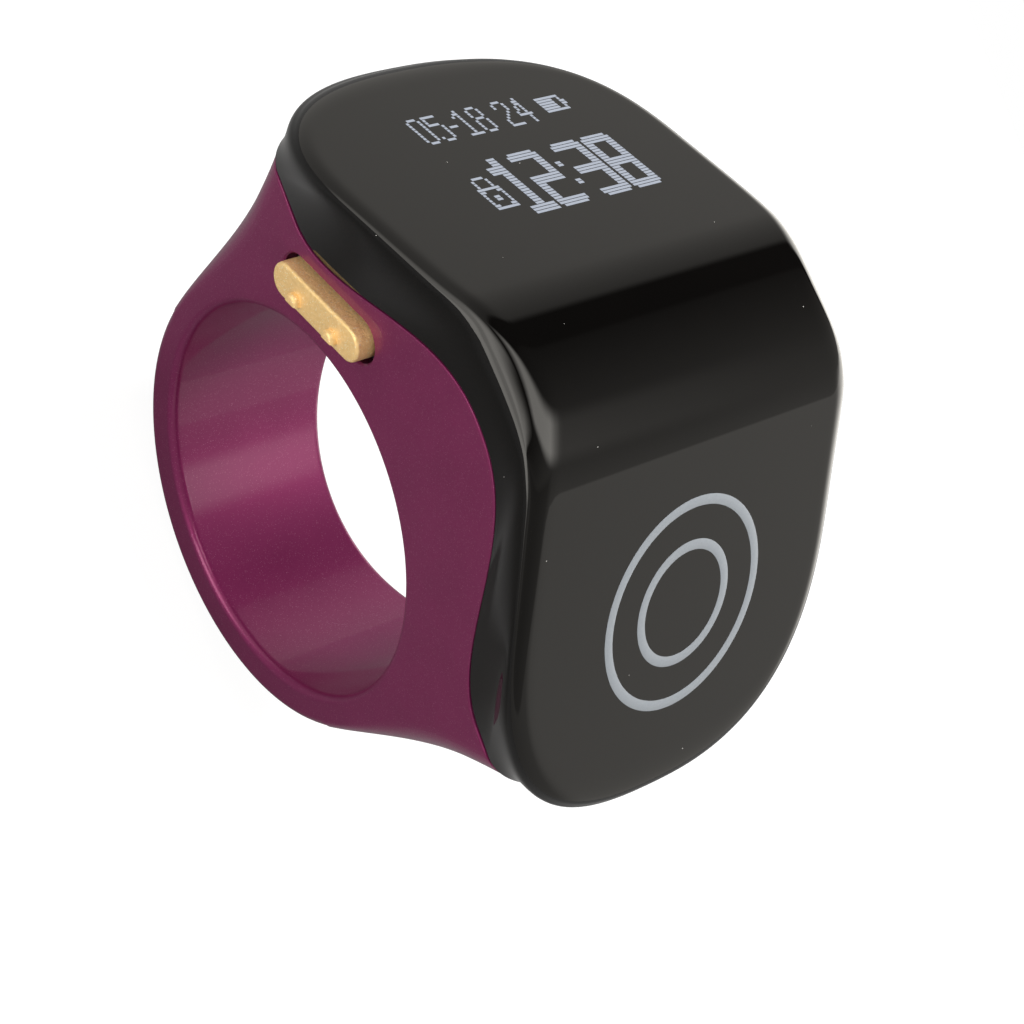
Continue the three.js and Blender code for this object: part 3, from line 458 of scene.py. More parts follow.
satin("black_rubber", (0.016, 0.016, 0.016), (0.030, 0.030, 0.030), 0.75, 6.0, 0.02)
satin("foam", (0.07, 0.08, 0.09), (0.13, 0.14, 0.15), 0.95, 9.0, 0.08, sheen=0.3)
satin("dark_glass", (0.008, 0.010, 0.013), (0.012, 0.015, 0.020), 0.06, 0.3, 0.0005)
satin("amber_film", (0.42, 0.15, 0.025), (0.55, 0.22, 0.04), 0.35, 2.0, 0.003)
satin("board_green", (0.015, 0.085, 0.040), (0.028, 0.125, 0.062), 0.45, 3.0, 0.01)
satin("frame_black", (0.020, 0.020, 0.022), (0.032, 0.032, 0.034), 0.55, 7.0, 0.012)
satin("chip_black", (0.012, 0.012, 0.013), (0.022, 0.022, 0.023), 0.6, 12.0, 0.008)
satin("steel", (0.42, 0.43, 0.44), (0.55, 0.56, 0.57), 0.3, 5.0, 0.004, metallic=1.0)
satin("foil", (0.36, 0.37, 0.39), (0.46, 0.47, 0.49), 0.35, 1.2, 0.02, metallic=0.8)
satin("lead_red", (0.34, 0.016, 0.012), (0.42, 0.028, 0.02), 0.45, 4.0, 0.004)
satin("lead_black", (0.012, 0.012, 0.012), (0.022, 0.022, 0.022), 0.45, 4.0, 0.004)
satin("contact_gold", (0.68, 0.40, 0.09), (0.80, 0.50, 0.14), 0.22, 4.0, 0.002, metallic=1.0)
print("finishes", len(finishes))

# %% [markdown]
# The carried-over pieces keep their shape and take the finish of the slot listed for them below.

# %% Dress the carried-over pieces
pieces_of = {
    "black_rubber": "cover_seal motor_cradle button_seal contact_carrier", "dark_glass": "oled_panel",
    "foam": "display_adhesive touch_foam battery_tape", "amber_film": "display_flex touch_flex",
    "board_green": "touch_board main_board switch_board", "frame_black": "inner_frame",
    "chip_black": "radio_chip power_chip switch_plunger", "grey_print": "chip_antenna",
    "steel": "crystal motor_can motor_shaft motor_weight switch_body", "foil": "battery_cell",
    "lead_red": "battery_lead_red", "lead_black": "battery_lead_black",
}
dressed = [(name, slot) for slot, names in pieces_of.items() for name in names.split()]
for name, slot in dressed:
    nodes[name].data.materials.clear()
    nodes[name].data.materials.append(finishes[slot])
print("dressed", len(dressed), "of", len(nodes))

# %% [markdown]
# New pieces are made as lists of points in millimetres and faces between them.
# One helper scales them, joins equal points, turns the faces outward and marks the sharp edges,
# and puts the piece on its body.

# %% Helper that makes a piece
def make_piece(name, points, faces, material, body, replaced=(), sharp=32.0, merge=1e-4):
    piece = solid_object(name, points, faces, merge * 0.001)
    mesh = piece.data
    shade(mesh, sharp)
    mesh.materials.append(finishes[material])
    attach(piece, body)
    if replaced:
        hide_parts(*replaced)
    print(name, "points", len(mesh.vertices), "faces", len(mesh.polygons), "open edges", open_edges(mesh))
    return piece


def solid_object(name, points, faces, merge=0.0):
    mesh = bpy.data.meshes.new(name)
    mesh.from_pydata([tuple(p) for p in np.asarray(points) * 0.001], [], faces)
    work = bmesh.new()
    work.from_mesh(mesh)
    if merge:
        bmesh.ops.remove_doubles(work, verts=work.verts, dist=merge)
        bmesh.ops.dissolve_degenerate(work, edges=work.edges, dist=merge)
    bmesh.ops.recalc_face_normals(work, faces=work.faces)
    if work.calc_volume(signed=True) < 0:
        bmesh.ops.reverse_faces(work, faces=work.faces)
    work.to_mesh(mesh)
    work.free()
    return add_object(name, mesh)


def shade(mesh, sharp, merge=0.0):
    work = bmesh.new()
    work.from_mesh(mesh)
    if merge:
        bmesh.ops.remove_doubles(work, verts=work.verts, dist=merge)
    for face in work.faces:
        face.smooth = True
    for edge in work.edges:
        edge.smooth = len(edge.link_faces) == 2 and edge.calc_face_angle(0) < math.radians(sharp)
    work.to_mesh(mesh)
    work.free()


def open_edges(mesh):
    uses = Counter(key for face in mesh.polygons for key in face.edge_keys)
    return sum(count != 2 for count in uses.values())


def grid_faces(rows, columns, close_rows, close_columns):
    faces = []
    for r in range(rows if close_rows else rows - 1):
        for c in range(columns if close_columns else columns - 1):
            r2, c2 = (r + 1) % rows, (c + 1) % columns
            faces.append((r * columns + c, r * columns + c2, r2 * columns + c2, r2 * columns + c))
    return faces


print("piece helpers ready")

# %% [markdown]
# Three things come back often: a ramp with soft ends, a full circle of angles, and the last place
# that still lies inside a shape. A formula for that place would be long, so it is found by halving.

# %% Helpers for curves
def smooth_step(t):
    s = np.clip(t, 0, 1)
    return s * s * (3 - 2 * s)


def full_turn(count):
    return np.linspace(0, 2 * math.pi, count + 1)[:-1]


def last_inside(is_inside, low=4.0, high=24.0, halvings=45):
    for _ in range(halvings):
        middle = (low + high) / 2
        inside = is_inside(middle)
        low, high = np.where(inside, middle, low), np.where(inside, high, middle)
    return (low + high) / 2


print("an edge at 7 is found at", round(float(last_inside(lambda place: place < 7)), 3))

# %% [markdown]
# The head is two flat faces that meet in a round ridge. A point on it is named by how far it lies
# along the surface from the ridge, and how deep it lies under it, as a tailor measures a sleeve.
# The line where cover meets body is a bell seen from the side, high under the ridge and low at both ends.

# %% Shape of the head and of the joint
face_tilt = math.radians(36.26)
ridge_radius, ridge_top = 8.5, 22.39
ridge_centre = ridge_top - ridge_radius
ridge_half_arc = ridge_radius * face_tilt
face_distance = ridge_centre * math.cos(face_tilt) + ridge_radius
face_start = -ridge_centre * math.sin(face_tilt)
face_half_width = {1: 10.95, -1: 10.99}
waist_depth, waist_place, waist_reach = 0.95, 0.7, 3.6
end_reach = {1: 7.4, -1: 9.13}
end_round = {1: 8.75, -1: 11.5}
end_power = 2.53
joint_drop = {"ridge": 3.65, 1: 12.15, -1: 12.55}
bell_centre, bell_reach, bell_power = -0.8, 12.4, 1.15


def head_point(along, depth):
    side = np.where(along < 0, -1.0, 1.0)
    flat = np.maximum(np.abs(along) - ridge_half_arc, 0)
    turned = side * np.minimum(np.abs(along) / ridge_radius, face_tilt)
    ny, nz = np.sin(turned), np.cos(turned)
    reach = ridge_radius - depth
    return ny * reach + side * nz * flat, ridge_centre + nz * reach - np.abs(ny) * flat


def edge_half_width(along):
    share = smooth_step((along + ridge_half_arc) / (2 * ridge_half_arc))
    width = face_half_width[-1] + (face_half_width[1] - face_half_width[-1]) * share
    return width - waist_depth * np.exp(-((along - waist_place) / waist_reach) ** 2)


def bell(y):
    y = np.asarray(y, float)
    base = ridge_top - np.where(y > bell_centre, joint_drop[1], joint_drop[-1])
    peak = ridge_top - joint_drop["ridge"]
    share = np.minimum(np.abs(y - bell_centre) / bell_reach, 1) ** bell_power
    return base + (peak - base) / 2 * (1 + np.cos(np.pi * share))


def locate(y, z):
    side = -1.0 if y < 0 else 1.0
    run = abs(y) * math.cos(face_tilt) - z * math.sin(face_tilt)
    if run > face_start:
        distance = abs(y) * math.sin(face_tilt) + z * math.cos(face_tilt)
        return side * (ridge_half_arc + run - face_start), face_distance - distance
    return (math.atan2(y, z - ridge_centre) * ridge_radius,
            ridge_radius - math.hypot(y, z - ridge_centre))


def end_along(side):
    return ridge_half_arc + end_reach[side] - face_start


print("face distance", round(face_distance, 3), "joint from", float(bell(20)), "to", float(bell(bell_centre)))

# %% [markdown]
# The body's two side faces lean outward as they rise, and its ends flare out under the head.
# Seen from above each level is a rounded rectangle, and lower down the band turns round the finger.

# %% Shape of the body
bore_radius, band_radius, band_drop = 10.0, 12.3, 0.5
flare_slope, flare_curve = 0.285, {1: 0.0005, -1: 0.0062}
flare_turn = {1: 1.7e-5, -1: 1.1e-5}
flare_angle = math.atan(flare_slope)
flare_y = band_radius * math.cos(flare_angle)
flare_z = -band_drop - band_radius * math.sin(flare_angle)
band_round, head_round, round_height, round_power = 1.1, 2.8, 7.0, 2.4
side_start, side_lean = 6.92, 0.19


def side_width(z):
    return side_start + side_lean * z


def flare_end(z, side):
    rise = z - flare_z
    curve = np.where(side > 0, flare_curve[1], flare_curve[-1])
    turned = np.where(side > 0, flare_turn[1], flare_turn[-1])
    above = np.maximum(rise, 0)
    return flare_y + flare_slope * rise + curve * above ** 2 + turned * above ** 4


def round_at(z):
    return band_round + (head_round - band_round) * smooth_step((z - flare_z) / (round_height - flare_z))


def end_share(width_share):
    return np.maximum(1 - np.abs(width_share) ** round_power, 0) ** (1 / round_power)


def corner_place(width_share, side, lift=0.0):
    def inside(y):
        z = bell(side * y) + lift
        return y < flare_end(z, side) - round_at(z) * (1 - end_share(width_share))
    return side * last_inside(inside)


print("body reaches", round(corner_place(0, 1), 2), round(corner_place(0, -1), 2))

# %% [markdown]
# The cover is a moulded shell. It could be a box with bevels, but its wall leans and bulges all round.
# Instead matching places are taken on its top edge and on the joint, and a profile is drawn between them.
# The profile goes over the edge round, down the bulging wall, under the lip and back up inside.

# %% Stations round the cover
end_steps, flat_steps, ridge_steps = 34, 8, 26


def place_for_share(share, side):
    def inside(y):
        z = bell(side * y)
        return (y - flare_end(z, side) + round_at(z)) / round_at(z) < share
    return side * last_inside(inside)


def joint_point(y, width_share):
    z = float(bell(y))
    along, depth = locate(y, z)
    return along, depth, side_width(z) * width_share


def half_stations(side):
    straight = end_along(side) - end_round[side]
    joint_straight = abs(place_for_share(0, side))
    rows = []
    for i in range(end_steps):
        angle = math.pi / 2 * i / end_steps
        along = side * (straight + end_round[side] * math.cos(angle) ** (2 / end_power))
        across = edge_half_width(along) * math.sin(angle) ** (2 / end_power)
        y = place_for_share(math.cos(angle) ** (2 / round_power), side)
        rows.append((along, across, *joint_point(y, math.sin(angle) ** (2 / round_power))))
    steps = flat_steps + ridge_steps // 2
    for i in range(steps):
        if i >= flat_steps:
            edge = ridge_half_arc * (1 - (i - flat_steps) / (ridge_steps / 2))
        else:
            edge = straight + (ridge_half_arc - straight) * i / flat_steps
        y = side * joint_straight * (1 - i / steps)
        rows.append((side * edge, edge_half_width(side * edge), *joint_point(y, 1)))
    return rows


on_ridge = (0.0, edge_half_width(0.0), *joint_point(0.0, 1))
stations = np.array(half_stations(1) + [on_ridge] + half_stations(-1)[::-1])
edge_along, edge_across, joint_along, joint_depth, joint_across = stations.T


def outward(along, across):
    step_along, step_across = np.gradient(along), np.gradient(across)
    length = np.hypot(step_along, step_across)
    out_across, out_along = -step_along / length, step_across / length
    out_across[[0, -1]] = 0
    out_along[[0, -1]] = (1, -1)
    return out_across, out_along


edge_out_x, edge_out_along = outward(edge_along, edge_across)
joint_out_x, joint_out_along = outward(joint_along, joint_across)
print("stations", len(stations))

# %% Profile of the cover at every station
cover_wall, seam, lip_out, lip_width, wall_top = 1.4, 0.06, 0.06, 0.55, 0.35
tip_share = smooth_step((1 - edge_across / edge_half_width(edge_along)) / 0.8)
side_softness = 1.0 - 0.4 * smooth_step((edge_along + 1) / 4)
ridge_softness = 0.1 * smooth_step(1 - np.abs(edge_along) / (ridge_half_arc + 1.0))
ridge_share = np.exp(-((edge_along - waist_place) / 4.5) ** 2)
bulge, bulge_power = 0.37 + 0.35 * tip_share + 0.36 * ridge_share, 0.5 + 0.4 * tip_share
softness = side_softness + ridge_softness + tip_share


def wall_place(share, inset):
    out = bulge * np.sin(np.pi * share ** bulge_power) - inset * (1 - share) + (lip_out - inset) * share
    along = edge_along + (joint_along - edge_along) * share
    across = edge_across + (joint_across - edge_across) * share
    out_along = (edge_out_along + (joint_out_along - edge_out_along) * share) * out
    out_x = (edge_out_x + (joint_out_x - edge_out_x) * share) * out
    depth = (inset + wall_top) * (1 - share) + joint_depth * share
    return np.array([along + out_along, across + out_x, depth])


def shoulder(inset, depth):
    return np.array([edge_along - edge_out_along * inset, edge_across - edge_out_x * inset,
                     np.full_like(edge_along, depth)])


rows = [shoulder(softness + 0.25, 0.0), shoulder(softness, 0.0)]
wall_start, wall_end, small_step = 0.05, 0.97, 0.01
first = wall_place(wall_start, 0.0)
slope = (wall_place(wall_start + small_step, 0.0) - first) / small_step
control = first - slope * np.clip(first[2] / np.maximum(slope[2], 1e-3), 0, 0.10)
control[2] = 0
for t in np.linspace(0, 1, 9)[1:]:
    rows.append((1 - t) ** 2 * rows[1] + 2 * t * (1 - t) * control + t ** 2 * first)
for share in wall_start + (wall_end - wall_start) * np.linspace(0, 1, 15)[1:] ** 1.15:
    rows.append(wall_place(share, 0.0))


def to_space(row):
    y, z = head_point(row[0], row[2])
    return np.array([np.maximum(row[1], 0), y, z]).T


outer = [to_space(row) for row in rows]
rim = to_space(wall_place(1.0, 0.0))
inner_rim = to_space(wall_place(1.0, lip_width))
deep_rim = to_space(wall_place(1.0, cover_wall))
for pull, lift in ((0.0, 0.14), (0.12, 0.02)):
    pulled = rim + (inner_rim - rim) * pull
    pulled[:, 2] = bell(rim[:, 1]) + seam + lift
    outer.append(pulled)
for place in (inner_rim, deep_rim):
    lip = place.copy()
    lip[:, 2] = bell(rim[:, 1]) + seam
    outer.append(lip)
for share in (0.7, 0.35, 0.12):
    inside = to_space(wall_place(share, cover_wall))
    inside[:, 2] = np.maximum(inside[:, 2], bell(inside[:, 1]) + seam)
    outer.append(inside)
outer.append(to_space(shoulder(cover_wall + 0.6, cover_wall)))
profile = np.array(outer)
print("profile rows", profile.shape)

# %% Close the cover
def close_cover(profile):
    top = profile[0].copy()
    top[:, 0] = 0
    floor = profile[-1].copy()
    floor[:, 0] = 0
    mirrored = profile[::-1] * np.array([-1, 1, 1])
    loop = np.concatenate([top[None], profile, floor[None], mirrored])
    loop[:, [0, -1], 0] = 0
    count = loop.shape[1]
    return loop.reshape(-1, 3), grid_faces(loop.shape[0], count, True, False)


points, faces = close_cover(profile)
make_piece("cover_shell", points, faces, "black_gloss", "ring", ("head_cover",), merge=5e-4)

# %% [markdown]
# The body is one hollow moulding round the finger. Rays from the middle of the finger hole meet its
# outline once, so each point is a direction and a share of the width. The grid lines follow the corner
# where the flared wall meets the joint. That corner is rounded by a tenth of a millimetre,
# and the rims of the hole by nearly four tenths.

# %% Distance from the finger to the body's outline
body_seam = 0.09


def outline_distance(turn, share):
    rounding = 1 - end_share(share)

    def inside(distance):
        y, z = distance * np.cos(turn), distance * np.sin(turn)
        upper = (z >= flare_z) & (np.abs(y) <= flare_end(z, np.sign(y)) - round_at(z) * rounding)
        upper &= z <= bell(y) - body_seam
        low_turn = np.arctan2(-(z + band_drop), np.abs(y)) - flare_angle
        stretch = 1 + (1 / math.cos(flare_angle) - 1) * np.clip(1 - low_turn / 0.5, 0, 1)
        band = band_radius - band_round * rounding * stretch
        return upper | (low_turn >= 0) & (np.hypot(y, z + band_drop) <= band)
    return last_inside(inside, 6.0, 28.0, 42)


ring_columns_top, ring_columns_low = 150, 210
quarter = np.linspace(0, math.pi / 2, 23)
half_shares = np.sin(quarter) ** (2 / round_power)
shares = np.unique(np.concatenate([half_shares, [0.9965, 0.985, 0.97]]))
shares = np.concatenate([shares[::-1], -shares[1:]])
corner_turns = {}
for side in (1, -1):
    ys = np.array([corner_place(abs(s), side, -body_seam) for s in shares])
    corner_turns[side] = np.arctan2(bell(ys) - body_seam, ys)
print("shares", len(shares), "corner turns", round(math.degrees(corner_turns[1].min()), 1),
      round(math.degrees(corner_turns[1].max()), 1))

# %% Grid of the body
rim_round, bore_round, corner_distance = 0.10, 0.38, 18.0
inset_turn = rim_round / corner_distance
top_share = np.linspace(0, 1, ring_columns_top)
low_share = np.linspace(0, 1, ring_columns_low)


def column_turns(back, front):
    over = back + (front - back) * top_share
    over = np.concatenate([[back, back + inset_turn / 2, back + inset_turn], over[1:-1],
                           [front - inset_turn, front - inset_turn / 2, front]])
    under = front + (back + 2 * math.pi - front) * low_share
    under = np.concatenate([[front + inset_turn / 2, front + inset_turn], under[1:-1],
                            [back + 2 * math.pi - inset_turn, back + 2 * math.pi - inset_turn / 2]])
    return np.concatenate([over, under])


turns = np.array([column_turns(b, f) for b, f in zip(corner_turns[1], corner_turns[-1])])
distance = outline_distance(turns, shares[:, None])
y, z = distance * np.cos(turns), distance * np.sin(turns)
x = shares[:, None] * side_width(z)
below = bell(y) - body_seam - z
top_columns = ring_columns_top + 4
on_top = np.zeros(turns.shape[1], bool)
on_top[1:top_columns - 1] = True
corners = np.zeros(turns.shape[1], bool)
corners[[0, top_columns - 1]] = True


def arc_pull(gap):
    inside = np.clip(rim_round - gap, 0, rim_round)
    return rim_round - np.sqrt(np.maximum(rim_round ** 2 - inside ** 2, 0))


wall = flare_end(z, np.sign(y)) - round_at(z) * (1 - end_share(shares[:, None]))
to_side = (1 - np.abs(shares[:, None])) * side_width(z)
to_wall = np.minimum(to_side, np.maximum(wall - np.abs(y), 0))
drop = np.where(on_top[None], arc_pull(to_wall), 0)
pull = np.where(on_top[None], 0, arc_pull(np.maximum(below, 0)))
edge_row = np.abs(shares) > 0.99999
mid_arc_pull = 0.293 * rim_round
for amount in (drop, pull):
    amount[:, corners] = mid_arc_pull
    amount[np.ix_(edge_row, on_top)] = mid_arc_pull
lean = 1 - end_share(shares[:, None]) ** 3
pull_x = pull * np.where(edge_row[:, None], 1, lean)
pull_y = pull * np.where(edge_row[:, None], 0, 1 - lean)
outer_grid = np.stack([x - np.sign(x) * pull_x, y - np.sign(y) * pull_y, z - drop], axis=-1)
print("outer grid", outer_grid.shape)

# %% Side faces and finger hole of the body
side_turns = turns[0]
reach_side = outline_distance(side_turns, 1.0)


def side_row(radius, sign, level=None):
    y, z = radius * np.cos(side_turns), radius * np.sin(side_turns)
    x = side_width(z) if level is None else level
    gap = np.where(on_top | corners, bell(y) - body_seam - z, 9.0)
    return np.stack([sign * (x - arc_pull(gap)), y, z], axis=-1)


def side_band(sign):
    rows = [side_row(reach_side - step, sign) for step in (rim_round * 0.5, rim_round * 1.2, 0.35)]
    start = bore_radius + bore_round
    for share in (0.66, 0.33):
        rows.append(side_row(start + (reach_side - 0.35 - start) * share, sign))
    rows.append(side_row(np.full_like(reach_side, start + 0.12), sign))
    for beta in np.linspace(0, math.pi / 2, 8):
        radius = bore_radius + bore_round * (1 - math.sin(beta))
        plane = side_width(start * np.sin(side_turns)) - bore_round * (1 - math.cos(beta))
        rows.append(side_row(np.full_like(reach_side, radius), sign, plane))
    plane = side_width(start * np.sin(side_turns)) - bore_round - 0.15
    rows.append(side_row(np.full_like(reach_side, bore_radius), sign, plane))
    return rows


left, right = side_band(-1), side_band(1)
middle = [left[-1] * (share, 1, 1) for share in (0.5, 0, -0.5)]
loop = np.array(list(outer_grid) + left + middle + right[::-1])
points = loop.reshape(-1, 3)
faces = grid_faces(loop.shape[0], loop.shape[1], True, True)
body = make_piece("body_shell", points, faces, "pearl_purple", "ring", ("ring_body",),
                  merge=1e-3)

# %% [markdown]
# Three hollows are cut from the body: the room for the electronics, the button's slot and the contacts' slot.
# A cut made by a boolean leaves a true edge, which drawing on the surface would not.
# The two slot cutters widen a little at the surface, so each slot gets a small chamfer.

# %% Cutters
def stadium(length, width):
    run = (length - width) / 2
    turn = np.linspace(-math.pi / 2, math.pi / 2, 14)
    right = np.stack([run + width / 2 * np.cos(turn), width / 2 * np.sin(turn)], axis=-1)
    return np.concatenate([right, -right])


def loft(rings):
    count = len(rings[0])
    faces = grid_faces(len(rings), count, False, True)
    faces.append(tuple(range(count))[::-1])
    faces.append(tuple(range((len(rings) - 1) * count, len(rings) * count)))
    return np.concatenate(rings), faces


def level_ring(outline, height, shift=0.0):
    return np.concatenate([outline + (0, shift), np.full((len(outline), 1), height)], axis=1)


button_offset, button_bearing, button_angle = 2.57, math.radians(54.65), math.radians(140.1)
button_y = (bore_radius + button_offset) * math.cos(button_bearing)
button_z = (bore_radius + button_offset) * math.sin(button_bearing)


def side_matrix(side):
    across = Vector((side, 0, -side_lean)).normalized()
    slot = Vector((0, math.cos(button_angle), math.sin(button_angle)))
    run = (slot - across * slot.dot(across)).normalized()
    rise = across.cross(run)
    turned = Matrix((run, rise, across)).transposed().to_4x4()
    return Matrix.Translation((side * side_width(button_z), button_y, button_z)) @ turned


def on_side(points, side):
    matrix = np.array(side_matrix(side))
    return points @ matrix[:3, :3].T + matrix[:3, 3]


def slot_cutter(name, length, width, side, chamfer=0.2):
    narrow, wide = stadium(length, width), stadium(length + chamfer, width + chamfer)
    levels = ((narrow, -3.0), (narrow, -0.09), (wide, 0.01), (wide, 3.0))
    points, faces = loft([level_ring(outline, height) for outline, height in levels])
    return solid_object(name, on_side(points, side), faces)


room_wall, drum_radius = 1.5, 11.4


def room_cutter():
    rings = []
    angle = np.linspace(0, math.pi / 2, 12)
    bow_across, bow_along = np.sin(angle) ** (2 / round_power), np.cos(angle) ** (2 / round_power)
    for z in np.arange(5.2, 23.3, 0.75):
        wide, size = (side_width(z) - room_wall) * bow_across, round_at(z)
        ends = [flare_end(z, side) - room_wall - size + size * bow_along for side in (1, -1)]
        back, front = np.stack([wide, ends[0]], axis=-1), np.stack([wide, -ends[1]], axis=-1)
        right = np.concatenate([back, front[::-1]])
        rings.append(level_ring(np.concatenate([right, (right * (-1, 1))[::-1][1:-1]]), z))
    room = solid_object("room_cutter", *loft(rings))
    turn = full_turn(96)
    circle = np.stack([drum_radius * np.cos(turn), drum_radius * np.sin(turn)], axis=-1)
    rings = [np.concatenate([np.full((96, 1), x), circle], axis=1) for x in (-30.0, 30.0)]
    carve(room, solid_object("drum_cutter", *loft(rings)))
    return room


def carve(target, tool):
    step = target.modifiers.new("cut", "BOOLEAN")
    step.operation = "DIFFERENCE"
    step.solver = "MANIFOLD"
    step.object = tool
    bpy.context.view_layer.update()
    graph = bpy.context.evaluated_depsgraph_get()
    result = bpy.data.meshes.new_from_object(target.evaluated_get(graph))
    target.modifiers.clear()
    old = target.data
    target.data = result
    result.name = target.name
    bpy.data.meshes.remove(old)
    bpy.data.objects.remove(tool)


print("slot middle", round(button_y, 2), round(button_z, 2))

# %% Cut the body
carve(body, room_cutter())
carve(body, slot_cutter("button_cutter", 7.5, 2.3, -1))
carve(body, slot_cutter("contact_cutter", 8.1, 2.4, 1))
shade(body.data, 32.0, merge=2e-6)
smoother = body.modifiers.new("flat faces first", "WEIGHTED_NORMAL")
smoother.keep_sharp = True
smoother.weight = 60
print("body faces", len(body.data.polygons), "open edges", open_edges(body.data))
body_points = np.array([v.co for v in body.data.vertices]) * 1000
print("body from", body_points.min(0).round(2), "to", body_points.max(0).round(2))

# %% [markdown]
# The button is a long rounded bar. It is lofted from the flange that keeps it in, through its stem,
# to the cap, whose top edge is rounded. Two small half-moon bumps on the cap let a thumb find it.

# %% Button
cap_length, cap_width, cap_top, cap_edge = 7.0, 1.8, 0.75, 0.16


def button_points():
    flange_top, flange_low, off_middle = -1.8, -2.2, -0.15
    rings = []
    for length, width, height, shift in (
            (8.8, 1.4, flange_low, off_middle), (8.8, 1.4, flange_top, off_middle),
            (6.0, 0.9, flange_top, off_middle), (6.0, 0.9, -1.5, off_middle), (6.9, 1.7, -1.5, 0),
            (cap_length, cap_width, -1.45, 0), (cap_length, cap_width, 0.2, 0)):
        rings.append(level_ring(stadium(length, width), height, shift))
    for beta in np.linspace(0, math.pi / 2, 7):
        less = 2 * cap_edge * (1 - math.cos(beta))
        height = cap_top - cap_edge + cap_edge * math.sin(beta)
        rings.append(level_ring(stadium(cap_length - less, cap_width - less), height))
    for inset in (0.45, 0.9):
        less = 2 * cap_edge + inset
        rings.append(level_ring(stadium(cap_length - less, cap_width - less), cap_top))
    return loft(rings)


points, faces = button_points()
make_piece("button_bar", on_side(points, -1), faces, "gold_paint", "button", ("side_button",))


def half_moon(centre, name):
    rings = []
    turn = np.linspace(0, math.pi, 15)
    for height, size in ((-0.05, 1.0), (0.15, 1.0), (0.26, 0.93), (0.32, 0.8), (0.34, 0.62)):
        arc = np.stack([0.46 * size * np.cos(turn), 0.50 * size * np.sin(turn) - 0.12], axis=-1)
        rings.append(level_ring(arc + centre, cap_top + height))
    points, faces = loft(rings)
    make_piece(name, on_side(points, -1), faces, "gold_paint", "button", (), sharp=50)


for number, along in enumerate((-1.5, 1.5), start=1):
    half_moon(np.array([along, -0.35]), f"button_bump_{number}")

# %% [markdown]
# Two gold contacts for the charger sit in a rubber carrier on the far side. Each is turned with a soft edge
# and a shallow dish where the charger's spring pin lands.

# %% Charging contacts
def contact_points(centre):
    rings = []
    profile = [(0.65, -2.5), (0.65, -0.10), (0.62, -0.03), (0.55, 0.0), (0.42, 0.0), (0.34, -0.03),
               (0.2, -0.05)]
    turn = full_turn(40)
    for radius, height in profile:
        circle = np.stack([centre + radius * np.cos(turn), radius * np.sin(turn)], axis=-1)
        rings.append(level_ring(circle, height))
    return loft(rings)


for number, centre in enumerate((-2.1, 2.1), start=1):
    points, faces = contact_points(centre)
    make_piece(f"contact_{number}", on_side(points, 1), faces, "contact_gold", "ring",
               (f"contact_pin_{number}",))

# %% [markdown]
# The two ring marks on the front face show where to tap. They are printed, so they stand only a hair proud.
# A drawn texture would blur when seen close, so each mark is a thin ring of its own.

# %% Touch marks
def on_face(points, side):
    turned = Matrix.Rotation(-side * face_tilt, 3, "X")
    return points @ np.array(turned).T


line_width, line_edge, print_height, mark_across, mark_along = 0.52, 0.02, 0.012, 0.23, 0.58


def mark_points(radius):
    turn = full_turn(144)
    within = radius - line_width
    profile = [(radius, -0.1), (radius, print_height / 2), (radius - line_edge, print_height),
               (within + line_edge, print_height), (within, print_height / 2), (within, -0.1)]
    loops = [np.stack([mark_across + r * np.cos(turn), mark_along + r * np.sin(turn),
                       np.full_like(turn, face_distance + rise)], axis=-1) for r, rise in profile]
    return np.concatenate(loops), grid_faces(len(loops), len(turn), True, True)


for name, radius in (("outer", 5.45), ("inner", 3.22)):
    points, faces = mark_points(radius)
    make_piece(f"touch_mark_{name}", on_face(points, -1), faces, "grey_print", "ring",
               (f"key_mark_{name}",), sharp=60)

# %% [markdown]
# The display shows a time and a date in plain numbers, with a small padlock and a battery.
# Its dots merge into rows, so every lit run of dots is one thin bar. The shapes are written as rows of text.

# %% Numbers for the display
def big_digit(digit):
    bars = {"top": (0, 3, 0, 11), "middle": (9, 12, 0, 11), "low": (18, 21, 0, 11), "up_left": (0, 12, 0, 3),
            "up_right": (0, 12, 8, 11), "down_left": (9, 21, 0, 3), "down_right": (9, 21, 8, 11)}
    lit = {"2": "top up_right middle down_left low", "3": "top up_right middle down_right low",
           "8": "top middle low up_left up_right down_left down_right"}
    cells = np.zeros((21, 11), bool)
    if digit == "1":
        cells[0:21, 5:8] = True
        cells[3:6, 2:5] = True
        cells[18:21, 2:11] = True
        return cells
    for name in lit[digit].split():
        top, bottom, start, end = bars[name]
        cells[top:bottom, start:end] = True
    cells[0, [0, 10]] = False
    cells[20, [0, 10]] = False
    return cells


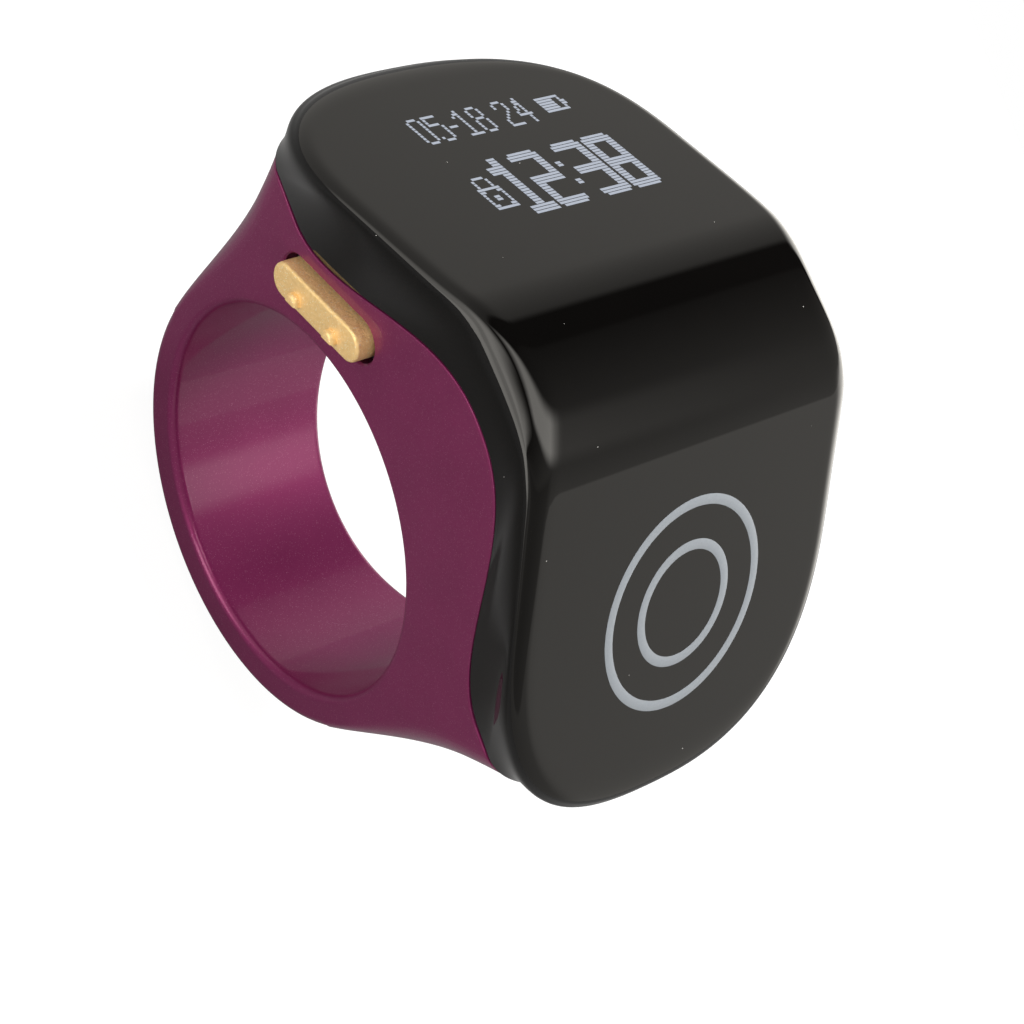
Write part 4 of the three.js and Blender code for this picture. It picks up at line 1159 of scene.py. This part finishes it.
small_digits = {
    "0": ".###. #...# #...# #...# #...# #...# #...# #...# #...# .###.",
    "1": "..#.. .##.. #.#.. ..#.. ..#.. ..#.. ..#.. ..#.. ..#.. #####",
    "2": ".###. #...# #...# ....# ...#. ..#.. .#... #.... #.... #####",
    "4": "...#. ..##. ..##. .#.#. .#.#. #..#. ##### ...#. ...#. ...#.",
    "5": "##### #.... #.... ####. ....# ....# ....# ....# #...# .###.",
    "8": ".###. #...# #...# #...# .###. #...# #...# #...# #...# .###.",
}
padlock = ("..####.. .#....#. .#....#. .#....#. ######## ##....## "
           "#......# #..##..# #..##..# #......# ##....## ########")
battery = "#########. ######..#. ######..## ######..## ######..#. #########."


def cells_of(rows):
    return np.array([[mark == "#" for mark in row] for row in rows.split()])


print("small digits", len(small_digits), "padlock rows", len(cells_of(padlock)))

# %% Bars of lit dots
screen_left, big_top, small_top = -4.1, -0.487, 3.3
bars = []


def light_up(cells, column, row, top):
    for r, line in enumerate(cells):
        edges = np.flatnonzero(np.diff(np.concatenate([[0], line.astype(int), [0]])))
        for start, end in edges.reshape(-1, 2):
            left = screen_left + (column + start) * dot_wide
            right = screen_left + (column + end) * dot_wide - 0.02
            height = top - (row + r) * dot_tall
            bars.append((left, right, height - dot_tall * 0.76, height))


for digit, column in zip("1238", (8, 20, 37, 49)):
    light_up(big_digit(digit), column, 0, big_top)
colon = np.zeros((21, 2), bool)
colon[[6, 7, 13, 14]] = True
light_up(colon, 33, 0, big_top)
light_up(cells_of(padlock), 0, 5, big_top)
for digit, column in zip("051824", (2, 8, 18, 24, 34, 40)):
    light_up(cells_of(small_digits[digit]), column, 0, small_top)
light_up(np.ones((1, 3), bool), 14, 5, small_top)
light_up(cells_of(battery), 50, 2, small_top)
points, faces = [], []
for left, right, low, high in bars:
    base = len(points)
    for height in (face_distance - 0.05, face_distance + 0.008):
        points += [(left, low, height), (right, low, height), (right, high, height), (left, high, height)]
    faces += [tuple(base + i for i in face) for face in
              ((3, 2, 1, 0), (4, 5, 6, 7), (0, 1, 5, 4), (1, 2, 6, 5), (2, 3, 7, 6), (3, 0, 4, 7))]
make_piece("display_dots", on_face(np.array(points), 1), faces, "lit_dots", "ring", (), merge=1e-6)
print("bars", len(bars))
